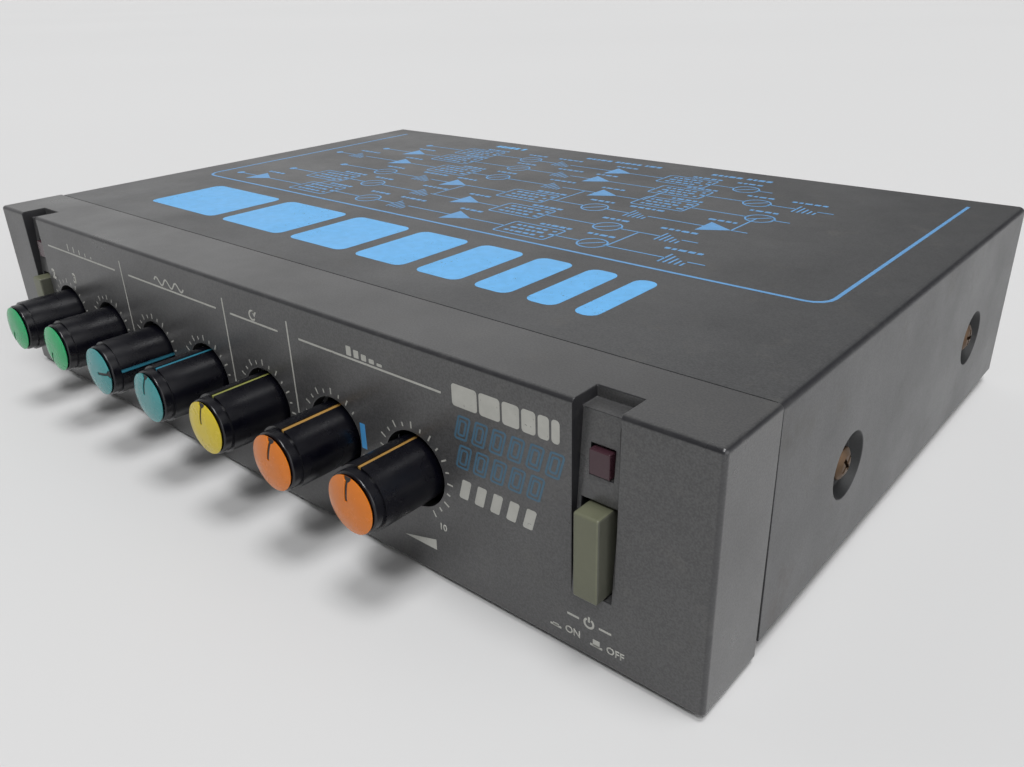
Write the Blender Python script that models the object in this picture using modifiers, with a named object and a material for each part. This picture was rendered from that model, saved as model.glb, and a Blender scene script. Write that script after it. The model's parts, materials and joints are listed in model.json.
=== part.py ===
"""A half-width rack delay unit: a moulded front with seven knobs and two buttons, a folded cover over
a sheet tray, and the boards, controls and sockets that they hold.

The unit faces -Y, X is its width and Z is up. Its feet stand on Z = 0, and the origin is under the
middle of it. Every length is in metres. A depth is measured back from the face of the front."""

import math

import bmesh
import bpy

# Fits that all pieces share
GAP = 0.0003  # between pieces that rest on each other
OVERRUN = 0.002  # a cutter past what it cuts
LAP = 0.0005  # a joined shape into its neighbour
MERGE = 0.00001  # points on a turned shape's axis
SIDES = 28  # of a turned shape that shows
INNER_SIDES = 16  # of a smaller or hidden round piece
FEW_SIDES = 8  # of the smallest ones
NUT_SIDES = 6
ROUND_STEPS = 2  # in a rounded edge
FOLD_STEPS = 3  # in a fold of the cover
CHAMFER_STEPS = 1
SHARP_ANGLE = math.radians(35)  # edges over it stay sharp on a smooth rod
ALIGNED = 0.5  # the share of a normal along an axis, past which a face looks that way

# Moulded front
WIDTH = 0.218
BEZEL_HEIGHT = 0.0448
BEZEL_DEPTH = 0.0162
BEZEL_CLEARANCE = 0.0008  # its underside above the table
BEZEL_WALL = 0.0025
BEZEL_FLOOR = 0.0023
BEZEL_ROUND = 0.0009
LIP_LENGTH = 0.004  # of the rim that goes under the cover
LIP_RISE = 0.0055  # the rim's lower ends above the front's underside

# Upright channels near both ends of the front, which turn over its top edge
CHANNEL_WIDTH = 0.0081
CHANNEL_DEPTH = 0.0025  # at the notch, from which its floor slopes up
CHANNEL_FOOT_DEPTH = 0.0002  # at its lower end
CHANNEL_FLOOR = 0.002
RIGHT_CHEEK = 0.0157
LEFT_CHEEK = 0.013
NOTCH_DEPTH = 0.0019  # down from the top face
NOTCH_LENGTH = 0.0061  # back from the front face
PAD_RIM = 0.0014  # material round a channel on the inside

# Heights on the front above its underside, as shares of its height
CHANNEL_BOTTOM_SHARE = 0.21875
KNOB_SHARE = 0.46652
BUTTON_SHARE = 0.45871
SCREW_SHARE = 0.45982
LAMP_SHARE = 0.78571

# Places between the two channels, as shares of the space there
KNOB_FIRST_SHARE = 0.05719
KNOB_PITCH_SHARE = 0.12421

# Places across the rear panel, as shares of its half width
JACK_SHARES = (-0.6509, -0.4091, -0.1674, 0.0744)
LEVEL_SHARE = 0.344
INLET_SHARE = 0.623

# Folded cover
CASE_DEPTH = 0.1475  # to the cover's rear edge
COVER_SHEET = 0.001
COVER_STEP = 0.00015  # the cover's skin inside the front's
COVER_ROUND = 0.0014
COVER_OVERHANG = 0.0003  # past the rear panel
SEAM = 0.00035
DIMPLE_RADIUS = 0.0063
DIMPLE_TAPER = 0.0013  # less radius at its floor
DIMPLE_DEPTH = 0.0022

# Tray with the rear panel
TRAY_SHEET = 0.001
TAB_LENGTH = 0.018
TAB_ABOVE_SCREW = 0.006
BOSS_RADIUS = 0.003
BOSS_HEIGHT = 0.0053
BOSS_INSET = 0.009  # from the edges of the board it carries

# Side screws
FRONT_SCREW_DEPTH = 0.0473
REAR_SCREW_INSET = 0.0287  # from the cover's rear edge
SCREW_RADIUS = 0.0015
SCREW_LENGTH = 0.0055  # under the head
HEAD_RADIUS = 0.0031
HEAD_HEIGHT = 0.0017
HEAD_CROWN = 0.0005
CROSS_WIDTH = 0.0008
CROSS_LENGTH = 0.0036
CROSS_DEPTH = 0.0009

# Feet
FOOT_RADIUS = 0.0062
FOOT_CHAMFER = 0.0008
FOOT_INSET = 0.0165  # its centre from the side
FRONT_FOOT_DEPTH = 0.031
REAR_FOOT_INSET = 0.0145  # from the cover's rear edge

# Knobs
KNOB_COUNT = 7
KNOB_REACH = 0.0152  # the cap's face in front of the front
KNOB_ENTRY = 0.0014  # the knob's rear end behind the front face
KNOB_RADIUS = 0.00615
KNOB_CHAMFER = 0.00035
COLLAR_RADIUS = 0.0057
COLLAR_LENGTH = 0.002
COLLAR_SKIN = 0.00045  # over the pointer's tongue
KNOB_CORE = 0.0007  # between the shaft's bore and the pointer's slot
KNOB_HOLE_CLEARANCE = 0.00105
CAP_RADIUS = 0.0054
CAP_HEIGHT = 0.0009
CAP_CHAMFER = 0.0003
POINTER_WIDTH = 0.0008
MARK_WIDTH = 0.0005  # the line cut in the cap
MARK_LENGTH = 0.0044
MARK_DEPTH = 0.0005
MARK_MOUTH = 0.00075  # the radius of the bite at the cap's rim
TURN_HALF = math.radians(150)
# Where each pointer stands, clockwise from straight up as the user sees it
POINTER_ANGLES = (
    -TURN_HALF,
    -TURN_HALF,
    math.radians(83),
    math.radians(9),
    math.radians(4),
    math.radians(11),
    math.radians(2),
)

# Rotary controls behind the knobs
SHAFT_RADIUS = 0.003
SHAFT_FLAT = 0.0008
SHAFT_IN_KNOB = 0.0118
SHAFT_ROUND_START = 0.0006  # the round part begins this far behind the knob
ROTOR_RADIUS = 0.006
ROTOR_HEIGHT = 0.0015
ROTOR_ROOM = 0.0008  # free space round the rotor
CONTROL_SPACE = 0.0015  # between the front's wall and a control's neck
NECK_LENGTH = 0.005
NECK_WALL = 0.0013
CAN_RADIUS = 0.008
CAN_LENGTH = 0.007
CAN_WALL = 0.001
TERMINAL_WIDTH = 0.0105
TERMINAL_DROP = 0.0115  # its lower end below the axis
TERMINAL_THICKNESS = 0.0014

# Push buttons and their switches
BUTTON_WIDTH = 0.0046
BUTTON_HEIGHT = 0.0151
BUTTON_PROUD = 0.0022
BUTTON_ROUND = 0.0005
BUTTON_SIDE_PLAY = 0.0009  # beside it in its opening
BUTTON_END_PLAY = 0.0004  # over and under it there
BUTTON_TRAVEL = 0.0025
FLANGE_RIM = 0.0011  # past the opening's edge
FLANGE_THICKNESS = 0.0012
STEM_SIDE = 0.003
STEM_ENTRY = 0.0015  # into the switch at rest
STEM_SPARE = 0.0005  # beyond its travel
SWITCH_WIDTH = 0.0078
SWITCH_HEIGHT = 0.0125
SWITCH_DEPTH = 0.0056

# Indicator lamps over the buttons
LAMP_WIDTH = 0.0036
LAMP_HEIGHT = 0.0042
LAMP_PROUD = 0.0009  # in front of the channel's floor
LAMP_LENS = 0.0076
LAMP_BASE_SIDE = 0.0062

# Boards
CONTROL_BOARD_THICKNESS = 0.0016
MAIN_BOARD_THICKNESS = 0.0016
MAIN_BOARD_FRONT = 0.024
MAIN_BOARD_SIDE_SPACE = 0.007  # from the case's side
MAIN_BOARD_REAR_SPACE = 0.0014  # from the rear panel
PROCESSOR_SIZE = (0.052, 0.0142, 0.0036)
MEMORY_SIZE = (0.0092, 0.022, 0.0036)
MEMORY_COUNT = 4
MEMORY_PITCH = 0.015
CAPACITOR_RADIUS = 0.0042
CAPACITOR_HEIGHT = 0.0125
CAPACITOR_COUNT = 5
CAPACITOR_PITCH = 0.014

# Places on the main board, as shares of its half width and of its length from its front edge
PROCESSOR_SHARES = (-0.294, 0.315)
MEMORY_SHARES = (0.196, 0.331)
CAPACITOR_SHARES = (-0.647, 0.579)
RIBBON_SHARE = 0.196

# Flat cable between the boards
RIBBON_WIDTH = 0.024
RIBBON_THICKNESS = 0.0009
RIBBON_RUN = 0.004
RIBBON_BEND = 0.009
RIBBON_DROP = 0.003
RIBBON_BEND_STEPS = 8

# Rear panel sockets
JACK_WIDTH = 0.016
JACK_HEIGHT = 0.017
JACK_LENGTH = 0.023
JACK_BORE_RADIUS = 0.00325
JACK_BORE_END = 0.002  # wall behind the bore
BUSHING_RADIUS = 0.0047
BUSHING_CHAMFER = 0.0004
JACK_REACH = 0.004  # behind the rear panel
NUT_WIDTH = 0.0128  # across flats
NUT_HEIGHT = 0.0024

LEVEL_BODY_WIDTH = 0.013
LEVEL_BODY_HEIGHT = 0.008
LEVEL_BODY_LENGTH = 0.0065
LEVEL_BODY_WALL = 0.001
LEVEL_TRAVEL = 0.0032
LEVEL_STEM_WIDTH = 0.0032
LEVEL_STEM_HEIGHT = 0.0034
LEVEL_REACH = 0.0018  # behind the rear panel
LEVEL_ROUND = 0.0003
LEVEL_GROOVE_WIDTH = 0.00025
LEVEL_GROOVE_DEPTH = 0.0005
LEVEL_GROOVE_COUNT = 3

INLET_WIDTH = 0.0115
INLET_HEIGHT = 0.0135
INLET_LENGTH = 0.0145
INLET_COLLAR_RADIUS = 0.0047
INLET_REACH = 0.0004
INLET_BORE_RADIUS = 0.0029
INLET_BORE_DEPTH = 0.0095
INLET_PIN_RADIUS = 0.00105

# Places that follow from the sizes, as heights over the table
BEZEL_BOTTOM = BEZEL_CLEARANCE
BEZEL_TOP = BEZEL_BOTTOM + BEZEL_HEIGHT
BEZEL_INNER_TOP = BEZEL_TOP - BEZEL_WALL
TRAY_BOTTOM = BEZEL_BOTTOM + BEZEL_FLOOR + GAP
TRAY_TOP = TRAY_BOTTOM + TRAY_SHEET
COVER_TOP = BEZEL_TOP - COVER_STEP
COVER_INNER_TOP = COVER_TOP - COVER_SHEET
KNOB_Z = BEZEL_BOTTOM + KNOB_SHARE * BEZEL_HEIGHT
BUTTON_Z = BEZEL_BOTTOM + BUTTON_SHARE * BEZEL_HEIGHT
LAMP_Z = BEZEL_BOTTOM + LAMP_SHARE * BEZEL_HEIGHT
SCREW_Z = BEZEL_BOTTOM + SCREW_SHARE * BEZEL_HEIGHT
CHANNEL_BOTTOM = BEZEL_BOTTOM + CHANNEL_BOTTOM_SHARE * BEZEL_HEIGHT
NOTCH_BOTTOM = BEZEL_TOP - NOTCH_DEPTH
BOARD_BOTTOM = TRAY_TOP + BOSS_HEIGHT + GAP
BOARD_TOP = BOARD_BOTTOM + MAIN_BOARD_THICKNESS
JACK_Z = BOARD_TOP + GAP + JACK_HEIGHT / 2
INLET_Z = BOARD_TOP + GAP + INLET_HEIGHT / 2

# Places across the width
COVER_SIDE = WIDTH / 2 - COVER_STEP
COVER_INNER_SIDE = COVER_SIDE - COVER_SHEET
PANEL_SIDE = COVER_INNER_SIDE - GAP
TAB_SIDE = COVER_SIDE - DIMPLE_DEPTH - COVER_SHEET - GAP
BEZEL_INNER_SIDE = WIDTH / 2 - BEZEL_WALL
RIGHT_CHANNEL_X = WIDTH / 2 - RIGHT_CHEEK - CHANNEL_WIDTH / 2
LEFT_CHANNEL_X = CHANNEL_WIDTH / 2 + LEFT_CHEEK - WIDTH / 2
CHANNEL_XS = (LEFT_CHANNEL_X, RIGHT_CHANNEL_X)
FIELD_LEFT = LEFT_CHANNEL_X + CHANNEL_WIDTH / 2
FIELD_WIDTH = RIGHT_CHANNEL_X - CHANNEL_WIDTH / 2 - FIELD_LEFT
KNOB_SHARES = [KNOB_FIRST_SHARE + index * KNOB_PITCH_SHARE for index in range(KNOB_COUNT)]
KNOB_XS = [FIELD_LEFT + share * FIELD_WIDTH for share in KNOB_SHARES]
FOOT_XS = (FOOT_INSET - WIDTH / 2, WIDTH / 2 - FOOT_INSET)
MAIN_BOARD_SIDE = WIDTH / 2 - MAIN_BOARD_SIDE_SPACE
JACK_XS = [share * PANEL_SIDE for share in JACK_SHARES]
LEVEL_X = LEVEL_SHARE * PANEL_SIDE
INLET_X = INLET_SHARE * PANEL_SIDE

# Depths behind the front face
CHANNEL_BACK = CHANNEL_DEPTH + CHANNEL_FLOOR
NECK_FRONT = BEZEL_WALL + CONTROL_SPACE
CAN_FRONT = NECK_FRONT + NECK_LENGTH
CAN_BACK = CAN_FRONT + CAN_LENGTH
CONTROL_BOARD_FRONT = CAN_BACK + GAP
CONTROL_BOARD_BACK = CONTROL_BOARD_FRONT + CONTROL_BOARD_THICKNESS
SWITCH_FRONT = CAN_BACK - SWITCH_DEPTH
REAR_FACE = CASE_DEPTH - COVER_OVERHANG
REAR_INNER = REAR_FACE - TRAY_SHEET
MAIN_BOARD_BACK = REAR_INNER - MAIN_BOARD_REAR_SPACE
SCREW_DEPTHS = (FRONT_SCREW_DEPTH, CASE_DEPTH - REAR_SCREW_INSET)
FOOT_DEPTHS = (FRONT_FOOT_DEPTH, CASE_DEPTH - REAR_FOOT_INSET)
OVERALL_DEPTH = KNOB_REACH + REAR_FACE + JACK_REACH
FRONT_Y = KNOB_REACH - OVERALL_DEPTH / 2

# Heights along a knob's axis, in front of the front face
CAP_BACK = KNOB_REACH - CAP_HEIGHT
KNOB_FRONT = CAP_BACK - GAP
COLLAR_BACK = KNOB_FRONT - COLLAR_LENGTH
BORE_RADIUS = SHAFT_RADIUS + GAP
SLOT_FLOOR = BORE_RADIUS + KNOB_CORE
SHAFT_FRONT = SHAFT_IN_KNOB - KNOB_ENTRY

# Looks: a colour, a roughness and how metallic it is
BEZEL_PAINT = ((0.075, 0.075, 0.077), 0.45, 0.2)
COVER_PAINT = ((0.045, 0.046, 0.050), 0.5, 0.3)
ZINC = ((0.55, 0.56, 0.58), 0.4, 0.8)
BARE_METAL = ((0.60, 0.60, 0.62), 0.3, 1.0)
BRASS = ((0.30, 0.23, 0.13), 0.4, 0.9)
RUBBER = ((0.010, 0.010, 0.011), 0.8, 0.0)
KNOB_BLACK = ((0.008, 0.008, 0.010), 0.4, 0.0)
BLACK_PLASTIC = ((0.012, 0.012, 0.013), 0.5, 0.0)
BOARD_GREEN = ((0.02, 0.12, 0.05), 0.5, 0.0)
GREEN = ((0.01, 0.33, 0.13), 0.35, 0.0)
TEAL = ((0.03, 0.30, 0.38), 0.35, 0.0)
YELLOW = ((0.72, 0.62, 0.05), 0.35, 0.0)
ORANGE = ((0.85, 0.24, 0.02), 0.35, 0.0)
BUTTON_GREY = ((0.20, 0.21, 0.15), 0.45, 0.0)
LAMP_RED = ((0.05, 0.028, 0.035), 0.2, 0.0)
CABLE_GREY = ((0.30, 0.30, 0.32), 0.6, 0.0)
KNOB_LOOKS = (GREEN, GREEN, TEAL, TEAL, YELLOW, ORANGE, ORANGE)


def clear_scene():
    for obj in list(bpy.data.objects):
        bpy.data.objects.remove(obj, do_unlink=True)


def new_collection(name):
    collection = bpy.data.collections.new(name)
    bpy.context.scene.collection.children.link(collection)
    return collection


def place_y(depth):
    """The Y of a depth behind the front face."""
    return FRONT_Y + depth


def new_material(name, colour, roughness, metallic):
    material = bpy.data.materials.new(name)
    material.use_nodes = True
    shader = material.node_tree.nodes["Principled BSDF"]
    shader.inputs["Base Color"].default_value = (*colour, 1.0)
    shader.inputs["Roughness"].default_value = roughness
    shader.inputs["Metallic"].default_value = metallic
    return material


def finish(obj, look):
    """Gives a piece a material of its own, also where it shares its mesh."""
    if not obj.data.materials:
        obj.data.materials.append(None)
    slot = obj.material_slots[0]
    slot.link = "OBJECT"
    slot.material = new_material(obj.name + "_finish", *look)
    return obj


def add(name, mesh):
    obj = bpy.data.objects.new(name, mesh)
    PARTS.objects.link(obj)
    return obj


def as_helper(obj):
    """Moves an object that only shapes another one out of the model."""
    if obj.name in PARTS.objects:
        PARTS.objects.unlink(obj)
        CUTTERS.objects.link(obj)
    obj.hide_render = True
    obj.display_type = "WIRE"


def boolean(target, other, operation):
    as_helper(other)
    modifier = target.modifiers.new(other.name, "BOOLEAN")
    modifier.operation = operation
    modifier.solver = "EXACT"
    modifier.object = other
    return target


def cut(target, *cutters):
    for cutter in cutters:
        boolean(target, cutter, "DIFFERENCE")
    return target


def join(target, *shapes):
    for shape in shapes:
        boolean(target, shape, "UNION")
    return target


def round_edges(obj, radius, segments=ROUND_STEPS):
    modifier = obj.modifiers.new("rounded_edges", "BEVEL")
    modifier.width = radius
    modifier.segments = segments
    modifier.limit_method = "ANGLE"
    return obj


def block(name, xs, ys, zs):
    """A box between two values on each axis."""
    shape = bmesh.new()
    bmesh.ops.create_cube(shape, size=1)
    spans = [(min(span), max(span)) for span in (xs, ys, zs)]
    bmesh.ops.scale(shape, vec=[high - low for low, high in spans], verts=shape.verts)
    mesh = bpy.data.meshes.new(name)
    shape.to_mesh(mesh)
    shape.free()
    obj = add(name, mesh)
    obj.location = [(low + high) / 2 for low, high in spans]
    return obj


def case_block(name, xs, depths, zs):
    """A box in the case, its depths measured back from the front face."""
    return block(name, xs, [place_y(depth) for depth in depths], zs)


def around(centre, size):
    """The span of a size about its centre."""
    return (centre - size / 2, centre + size / 2)


def rod(name, radius, zs, sides=INNER_SIDES, end_radius=None):
    """A cylinder or cone on the local Z axis, between two heights."""
    low, high = min(zs), max(zs)
    shape = bmesh.new()
    bmesh.ops.create_cone(
        shape,
        cap_ends=True,
        segments=sides,
        radius1=radius,
        radius2=radius if end_radius is None else end_radius,
        depth=high - low,
    )
    bmesh.ops.translate(shape, vec=(0, 0, (low + high) / 2), verts=shape.verts)
    mesh = bpy.data.meshes.new(name)
    shape.to_mesh(mesh)
    shape.free()
    mesh.shade_smooth()
    mesh.set_sharp_from_angle(angle=SHARP_ANGLE)
    return add(name, mesh)


def turned(name, profile, sides=SIDES, closed=False):
    """A shape turned about its local Z axis. Its (radius, height) points run down its outer side, from
    the top of the axis to the bottom, or once round the section of a ring."""
    mesh = bpy.data.meshes.new(name)
    points = [(radius, 0, height) for radius, height in profile]
    edges = [(index, index + 1) for index in range(len(points) - 1)]
    if closed:
        edges.append((len(points) - 1, 0))
    mesh.from_pydata(points, edges, [])
    obj = add(name, mesh)
    screw = obj.modifiers.new("turn", "SCREW")
    screw.axis = "Z"
    screw.steps = sides
    screw.render_steps = sides
    screw.use_merge_vertices = True
    screw.merge_threshold = MERGE
    screw.use_smooth_shade = True
    return obj


def facing(obj, direction, location=(0, 0, 0)):
    """Turns local Z to the front, the rear, the left or the right, and moves the object."""
    quarter = math.pi / 2
    turns = {
        "front": (quarter, 0, 0),
        "rear": (-quarter, 0, 0),
        "right": (0, quarter, 0),
        "left": (0, -quarter, 0),
    }
    obj.rotation_euler = turns[direction]
    obj.location = location
    return obj


def new_axis(name, location, rotation=(0, 0, 0)):
    """An empty on the axis of a moving piece."""
    axis = bpy.data.objects.new(name, None)
    PARTS.objects.link(axis)
    axis.location = location
    axis.rotation_euler = rotation
    return axis


def carry(piece, axis):
    """Parents a piece to an unturned empty and leaves it where it is."""
    piece.location = [place - home for place, home in zip(piece.location, axis.location)]
    piece.parent = axis


def helpers_of(obj):
    found = []
    for modifier in obj.modifiers:
        if modifier.type == "BOOLEAN":
            found += [modifier.object, *helpers_of(modifier.object)]
    return found


def frozen_mesh(obj, name):
    """The finished mesh of a pattern piece that is used more than once. The pattern is removed."""
    bpy.context.view_layer.update()
    graph = bpy.context.evaluated_depsgraph_get()
    mesh = bpy.data.meshes.new_from_object(obj.evaluated_get(graph))
    mesh.name = name
    for helper in [obj, *helpers_of(obj)]:
        bpy.data.objects.remove(helper, do_unlink=True)
    return mesh


def make_channel_pads(name, x):
    """The thicker wall inside the front round one channel and its notch."""
    span = around(x, CHANNEL_WIDTH + 2 * PAD_RIM)
    wall = case_block(
        name + "_wall_pad",
        span,
        (BEZEL_WALL - LAP, CHANNEL_BACK),
        (CHANNEL_BOTTOM - PAD_RIM, BEZEL_INNER_TOP + LAP),
    )
    roof = case_block(
        name + "_roof_pad",
        span,
        (BEZEL_WALL - LAP, NOTCH_LENGTH + CHANNEL_FLOOR),
        (NOTCH_BOTTOM - CHANNEL_FLOOR, BEZEL_INNER_TOP + LAP),
    )
    return wall, roof


def channel_depth(height):
    """How deep the sloping floor of a channel is at a height."""
    share = (height - CHANNEL_BOTTOM) / (NOTCH_BOTTOM + LAP - CHANNEL_BOTTOM)
    return CHANNEL_FOOT_DEPTH + share * (CHANNEL_DEPTH - CHANNEL_FOOT_DEPTH)


def make_channel_cutters(name, x):
    span = around(x, CHANNEL_WIDTH)
    high = BEZEL_TOP + OVERRUN
    groove = case_block(
        name + "_groove",
        span,
        (-OVERRUN, CHANNEL_DEPTH),
        (CHANNEL_BOTTOM, NOTCH_BOTTOM + LAP),
    )
    for vertex in groove.data.vertices:
        if vertex.co.y > 0 > vertex.co.z:
            vertex.co.y -= CHANNEL_DEPTH - CHANNEL_FOOT_DEPTH
    notch = case_block(name + "_notch", span, (-OVERRUN, NOTCH_LENGTH), (NOTCH_BOTTOM, high))
    depths = (-OVERRUN, CHANNEL_BACK + OVERRUN)
    opening = case_block(
        name + "_button_opening",
        around(x, BUTTON_WIDTH + 2 * BUTTON_SIDE_PLAY),
        depths,
        around(BUTTON_Z, BUTTON_HEIGHT + 2 * BUTTON_END_PLAY),
    )
    window = case_block(
        name + "_lamp_window",
        around(x, LAMP_WIDTH + 2 * GAP),
        depths,
        around(LAMP_Z, LAMP_HEIGHT + 2 * GAP),
    )
    return groove, notch, opening, window


def make_front_bezel():
    bezel = case_block(
        "front_bezel",
        (-WIDTH / 2, WIDTH / 2),
        (0, BEZEL_DEPTH + OVERRUN + BEZEL_ROUND),
        (BEZEL_BOTTOM, BEZEL_TOP),
    )
    round_edges(bezel, BEZEL_ROUND)
    cut(
        bezel,
        case_block(
            "bezel_rear_trim",
            (-WIDTH, WIDTH),
            (BEZEL_DEPTH, BEZEL_DEPTH + BEZEL_HEIGHT),
            (-BEZEL_HEIGHT, BEZEL_TOP + BEZEL_HEIGHT),
        ),
    )
    lip_side = COVER_INNER_SIDE - GAP
    join(
        bezel,
        case_block(
            "bezel_lip",
            (-lip_side, lip_side),
            (BEZEL_DEPTH - BEZEL_WALL, BEZEL_DEPTH + LIP_LENGTH),
            (BEZEL_BOTTOM + LIP_RISE, COVER_INNER_TOP - GAP),
        ),
    )
    cut(
        bezel,
        case_block(
            "bezel_hollow",
            (-BEZEL_INNER_SIDE, BEZEL_INNER_SIDE),
            (BEZEL_WALL, BEZEL_DEPTH + LIP_LENGTH + OVERRUN),
            (BEZEL_BOTTOM + BEZEL_FLOOR, BEZEL_INNER_TOP),
        ),
    )
    for name, x in zip(("left", "right"), CHANNEL_XS):
        join(bezel, *make_channel_pads(name, x))
        cut(bezel, *make_channel_cutters(name, x))
    for number, x in enumerate(KNOB_XS, start=1):
        hole = rod(
            f"knob_hole_{number}",
            KNOB_RADIUS + KNOB_HOLE_CLEARANCE,
            (-BEZEL_WALL - OVERRUN, OVERRUN),
            SIDES,
        )
        cut(bezel, facing(hole, "front", (x, FRONT_Y, KNOB_Z)))
    return finish(bezel, BEZEL_PAINT)


def side_screw_places():
    """Each side screw's number, side name, sign of X and depth."""
    places = [("left", -1, depth) for depth in SCREW_DEPTHS]
    places += [("right", 1, depth) for depth in SCREW_DEPTHS]
    return [(number, *place) for number, place in enumerate(places, start=1)]


def make_top_cover():
    """A sheet folded down at both sides, with a pressed seat round each side screw."""
    depths = (BEZEL_DEPTH + SEAM, CASE_DEPTH)
    cover = case_block("top_cover", (-COVER_SIDE, COVER_SIDE), depths, (TRAY_BOTTOM, COVER_TOP))
    shape = bmesh.new()
    shape.from_mesh(cover.data)
    open_sides = [
        face for face in shape.faces if face.normal.z < -ALIGNED or abs(face.normal.y) > ALIGNED
    ]
    bmesh.ops.delete(shape, geom=open_sides, context="FACES")
    shape.to_mesh(cover.data)
    shape.free()
    round_edges(cover, COVER_ROUND, FOLD_STEPS)
    sheet = cover.modifiers.new("sheet", "SOLIDIFY")
    sheet.thickness = COVER_SHEET
    sheet.offset = -1
    sheet.use_even_offset = True
    floor_radius = DIMPLE_RADIUS - DIMPLE_TAPER
    for number, side, sign, depth in side_screw_places():
        centre = (sign * COVER_SIDE, place_y(depth), SCREW_Z)
        seat = rod(
            f"dimple_seat_{number}",
            floor_radius + COVER_SHEET,
            (-DIMPLE_DEPTH - COVER_SHEET, -COVER_SHEET / 2),
            SIDES,
            DIMPLE_RADIUS + COVER_SHEET,
        )
        taper = DIMPLE_TAPER * OVERRUN / DIMPLE_DEPTH
        cavity = rod(
            f"dimple_cavity_{number}",
            floor_radius,
            (-DIMPLE_DEPTH, OVERRUN),
            SIDES,
            DIMPLE_RADIUS + taper,
        )
        hole = rod(
            f"dimple_hole_{number}",
            SCREW_RADIUS + GAP,
            (-DIMPLE_DEPTH - COVER_SHEET - OVERRUN, OVERRUN),
        )
        join(cover, facing(seat, side, centre))
        cut(cover, facing(cavity, side, centre), facing(hole, side, centre))
    return finish(cover, COVER_PAINT)


def make_tray_tabs(tray):
    """An upright tab behind each pressed seat of the cover, with the side screw's hole."""
    for number, side, sign, depth in side_screw_places():
        tab = case_block(
            f"tray_tab_{number}",
            (sign * TAB_SIDE, sign * (TAB_SIDE - TRAY_SHEET)),
            around(depth, TAB_LENGTH),
            (TRAY_TOP - LAP, SCREW_Z + TAB_ABOVE_SCREW),
        )
        reach = TRAY_SHEET + OVERRUN
        hole = rod(f"tray_tab_hole_{number}", SCREW_RADIUS + GAP, (-reach, OVERRUN))
        join(tray, tab)
        cut(tray, facing(hole, side, (sign * TAB_SIDE, place_y(depth), SCREW_Z)))


def make_tray_bosses(tray):
    xs = (BOSS_INSET - MAIN_BOARD_SIDE, MAIN_BOARD_SIDE - BOSS_INSET)
    depths = (MAIN_BOARD_FRONT + BOSS_INSET, MAIN_BOARD_BACK - BOSS_INSET)
    places = [(x, depth) for x in xs for depth in depths]
    for number, (x, depth) in enumerate(places, start=1):
        boss = rod(f"tray_boss_{number}", BOSS_RADIUS, (TRAY_TOP - LAP, TRAY_TOP + BOSS_HEIGHT))
        boss.location = (x, place_y(depth), 0)
        join(tray, boss)


def make_chassis_tray():
    """The floor of the case with the rear panel folded up from it."""
    tray = case_block(
        "chassis_tray",
        (-PANEL_SIDE, PANEL_SIDE),
        (BEZEL_DEPTH + SEAM, REAR_FACE),
        (TRAY_BOTTOM, TRAY_TOP),
    )
    tongue_side = BEZEL_INNER_SIDE - GAP
    join(
        tray,
        case_block(
            "tray_tongue",
            (-tongue_side, tongue_side),
            (BEZEL_WALL + GAP, BEZEL_DEPTH + SEAM + LAP),
            (TRAY_BOTTOM, TRAY_TOP),
        ),
        case_block(
            "rear_panel",
            (-PANEL_SIDE, PANEL_SIDE),
            (REAR_INNER, REAR_FACE),
            (TRAY_TOP - LAP, COVER_INNER_TOP - GAP),
        ),
    )
    make_tray_tabs(tray)
    make_tray_bosses(tray)
    rear = place_y(REAR_FACE)
    through = (-TRAY_SHEET - OVERRUN, OVERRUN)
    for number, x in enumerate(JACK_XS, start=1):
        hole = rod(f"jack_hole_{number}", BUSHING_RADIUS + GAP, through)
        cut(tray, facing(hole, "rear", (x, rear, JACK_Z)))
    inlet_hole = rod("inlet_hole", INLET_COLLAR_RADIUS + GAP, through)
    cut(tray, facing(inlet_hole, "rear", (INLET_X, rear, INLET_Z)))
    cut(
        tray,
        case_block(
            "level_switch_slot",
            (LEVEL_X - LEVEL_STEM_WIDTH / 2 - GAP, LEVEL_X + LEVEL_STEM_WIDTH / 2 + LEVEL_TRAVEL + GAP),
            (REAR_INNER - OVERRUN, REAR_FACE + OVERRUN),
            around(JACK_Z, LEVEL_STEM_HEIGHT + 2 * GAP),
        ),
    )
    return finish(tray, COVER_PAINT)


def make_side_screws():
    """A cross-head screw through each pressed seat of the cover into the tray's tab."""
    profile = [
        (0, HEAD_HEIGHT),
        (HEAD_RADIUS - HEAD_CROWN, HEAD_HEIGHT),
        (HEAD_RADIUS, HEAD_HEIGHT - HEAD_CROWN),
        (HEAD_RADIUS, 0),
        (SCREW_RADIUS, 0),
        (SCREW_RADIUS, -SCREW_LENGTH),
        (0, -SCREW_LENGTH),
    ]
    pattern = turned("screw_pattern", profile, INNER_SIDES)
    heights = (HEAD_HEIGHT - CROSS_DEPTH, HEAD_HEIGHT + OVERRUN)
    long_way, short_way = around(0, CROSS_LENGTH), around(0, CROSS_WIDTH)
    cut(
        pattern,
        block("cross_slot_1", long_way, short_way, heights),
        block("cross_slot_2", short_way, long_way, heights),
    )
    mesh = frozen_mesh(pattern, "side_screw")
    seat = COVER_SIDE - DIMPLE_DEPTH + GAP
    for number, side, sign, depth in side_screw_places():
        screw = add(f"side_screw_{number}", mesh)
        facing(screw, side, (sign * seat, place_y(depth), SCREW_Z))
        finish(screw, BRASS)


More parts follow.
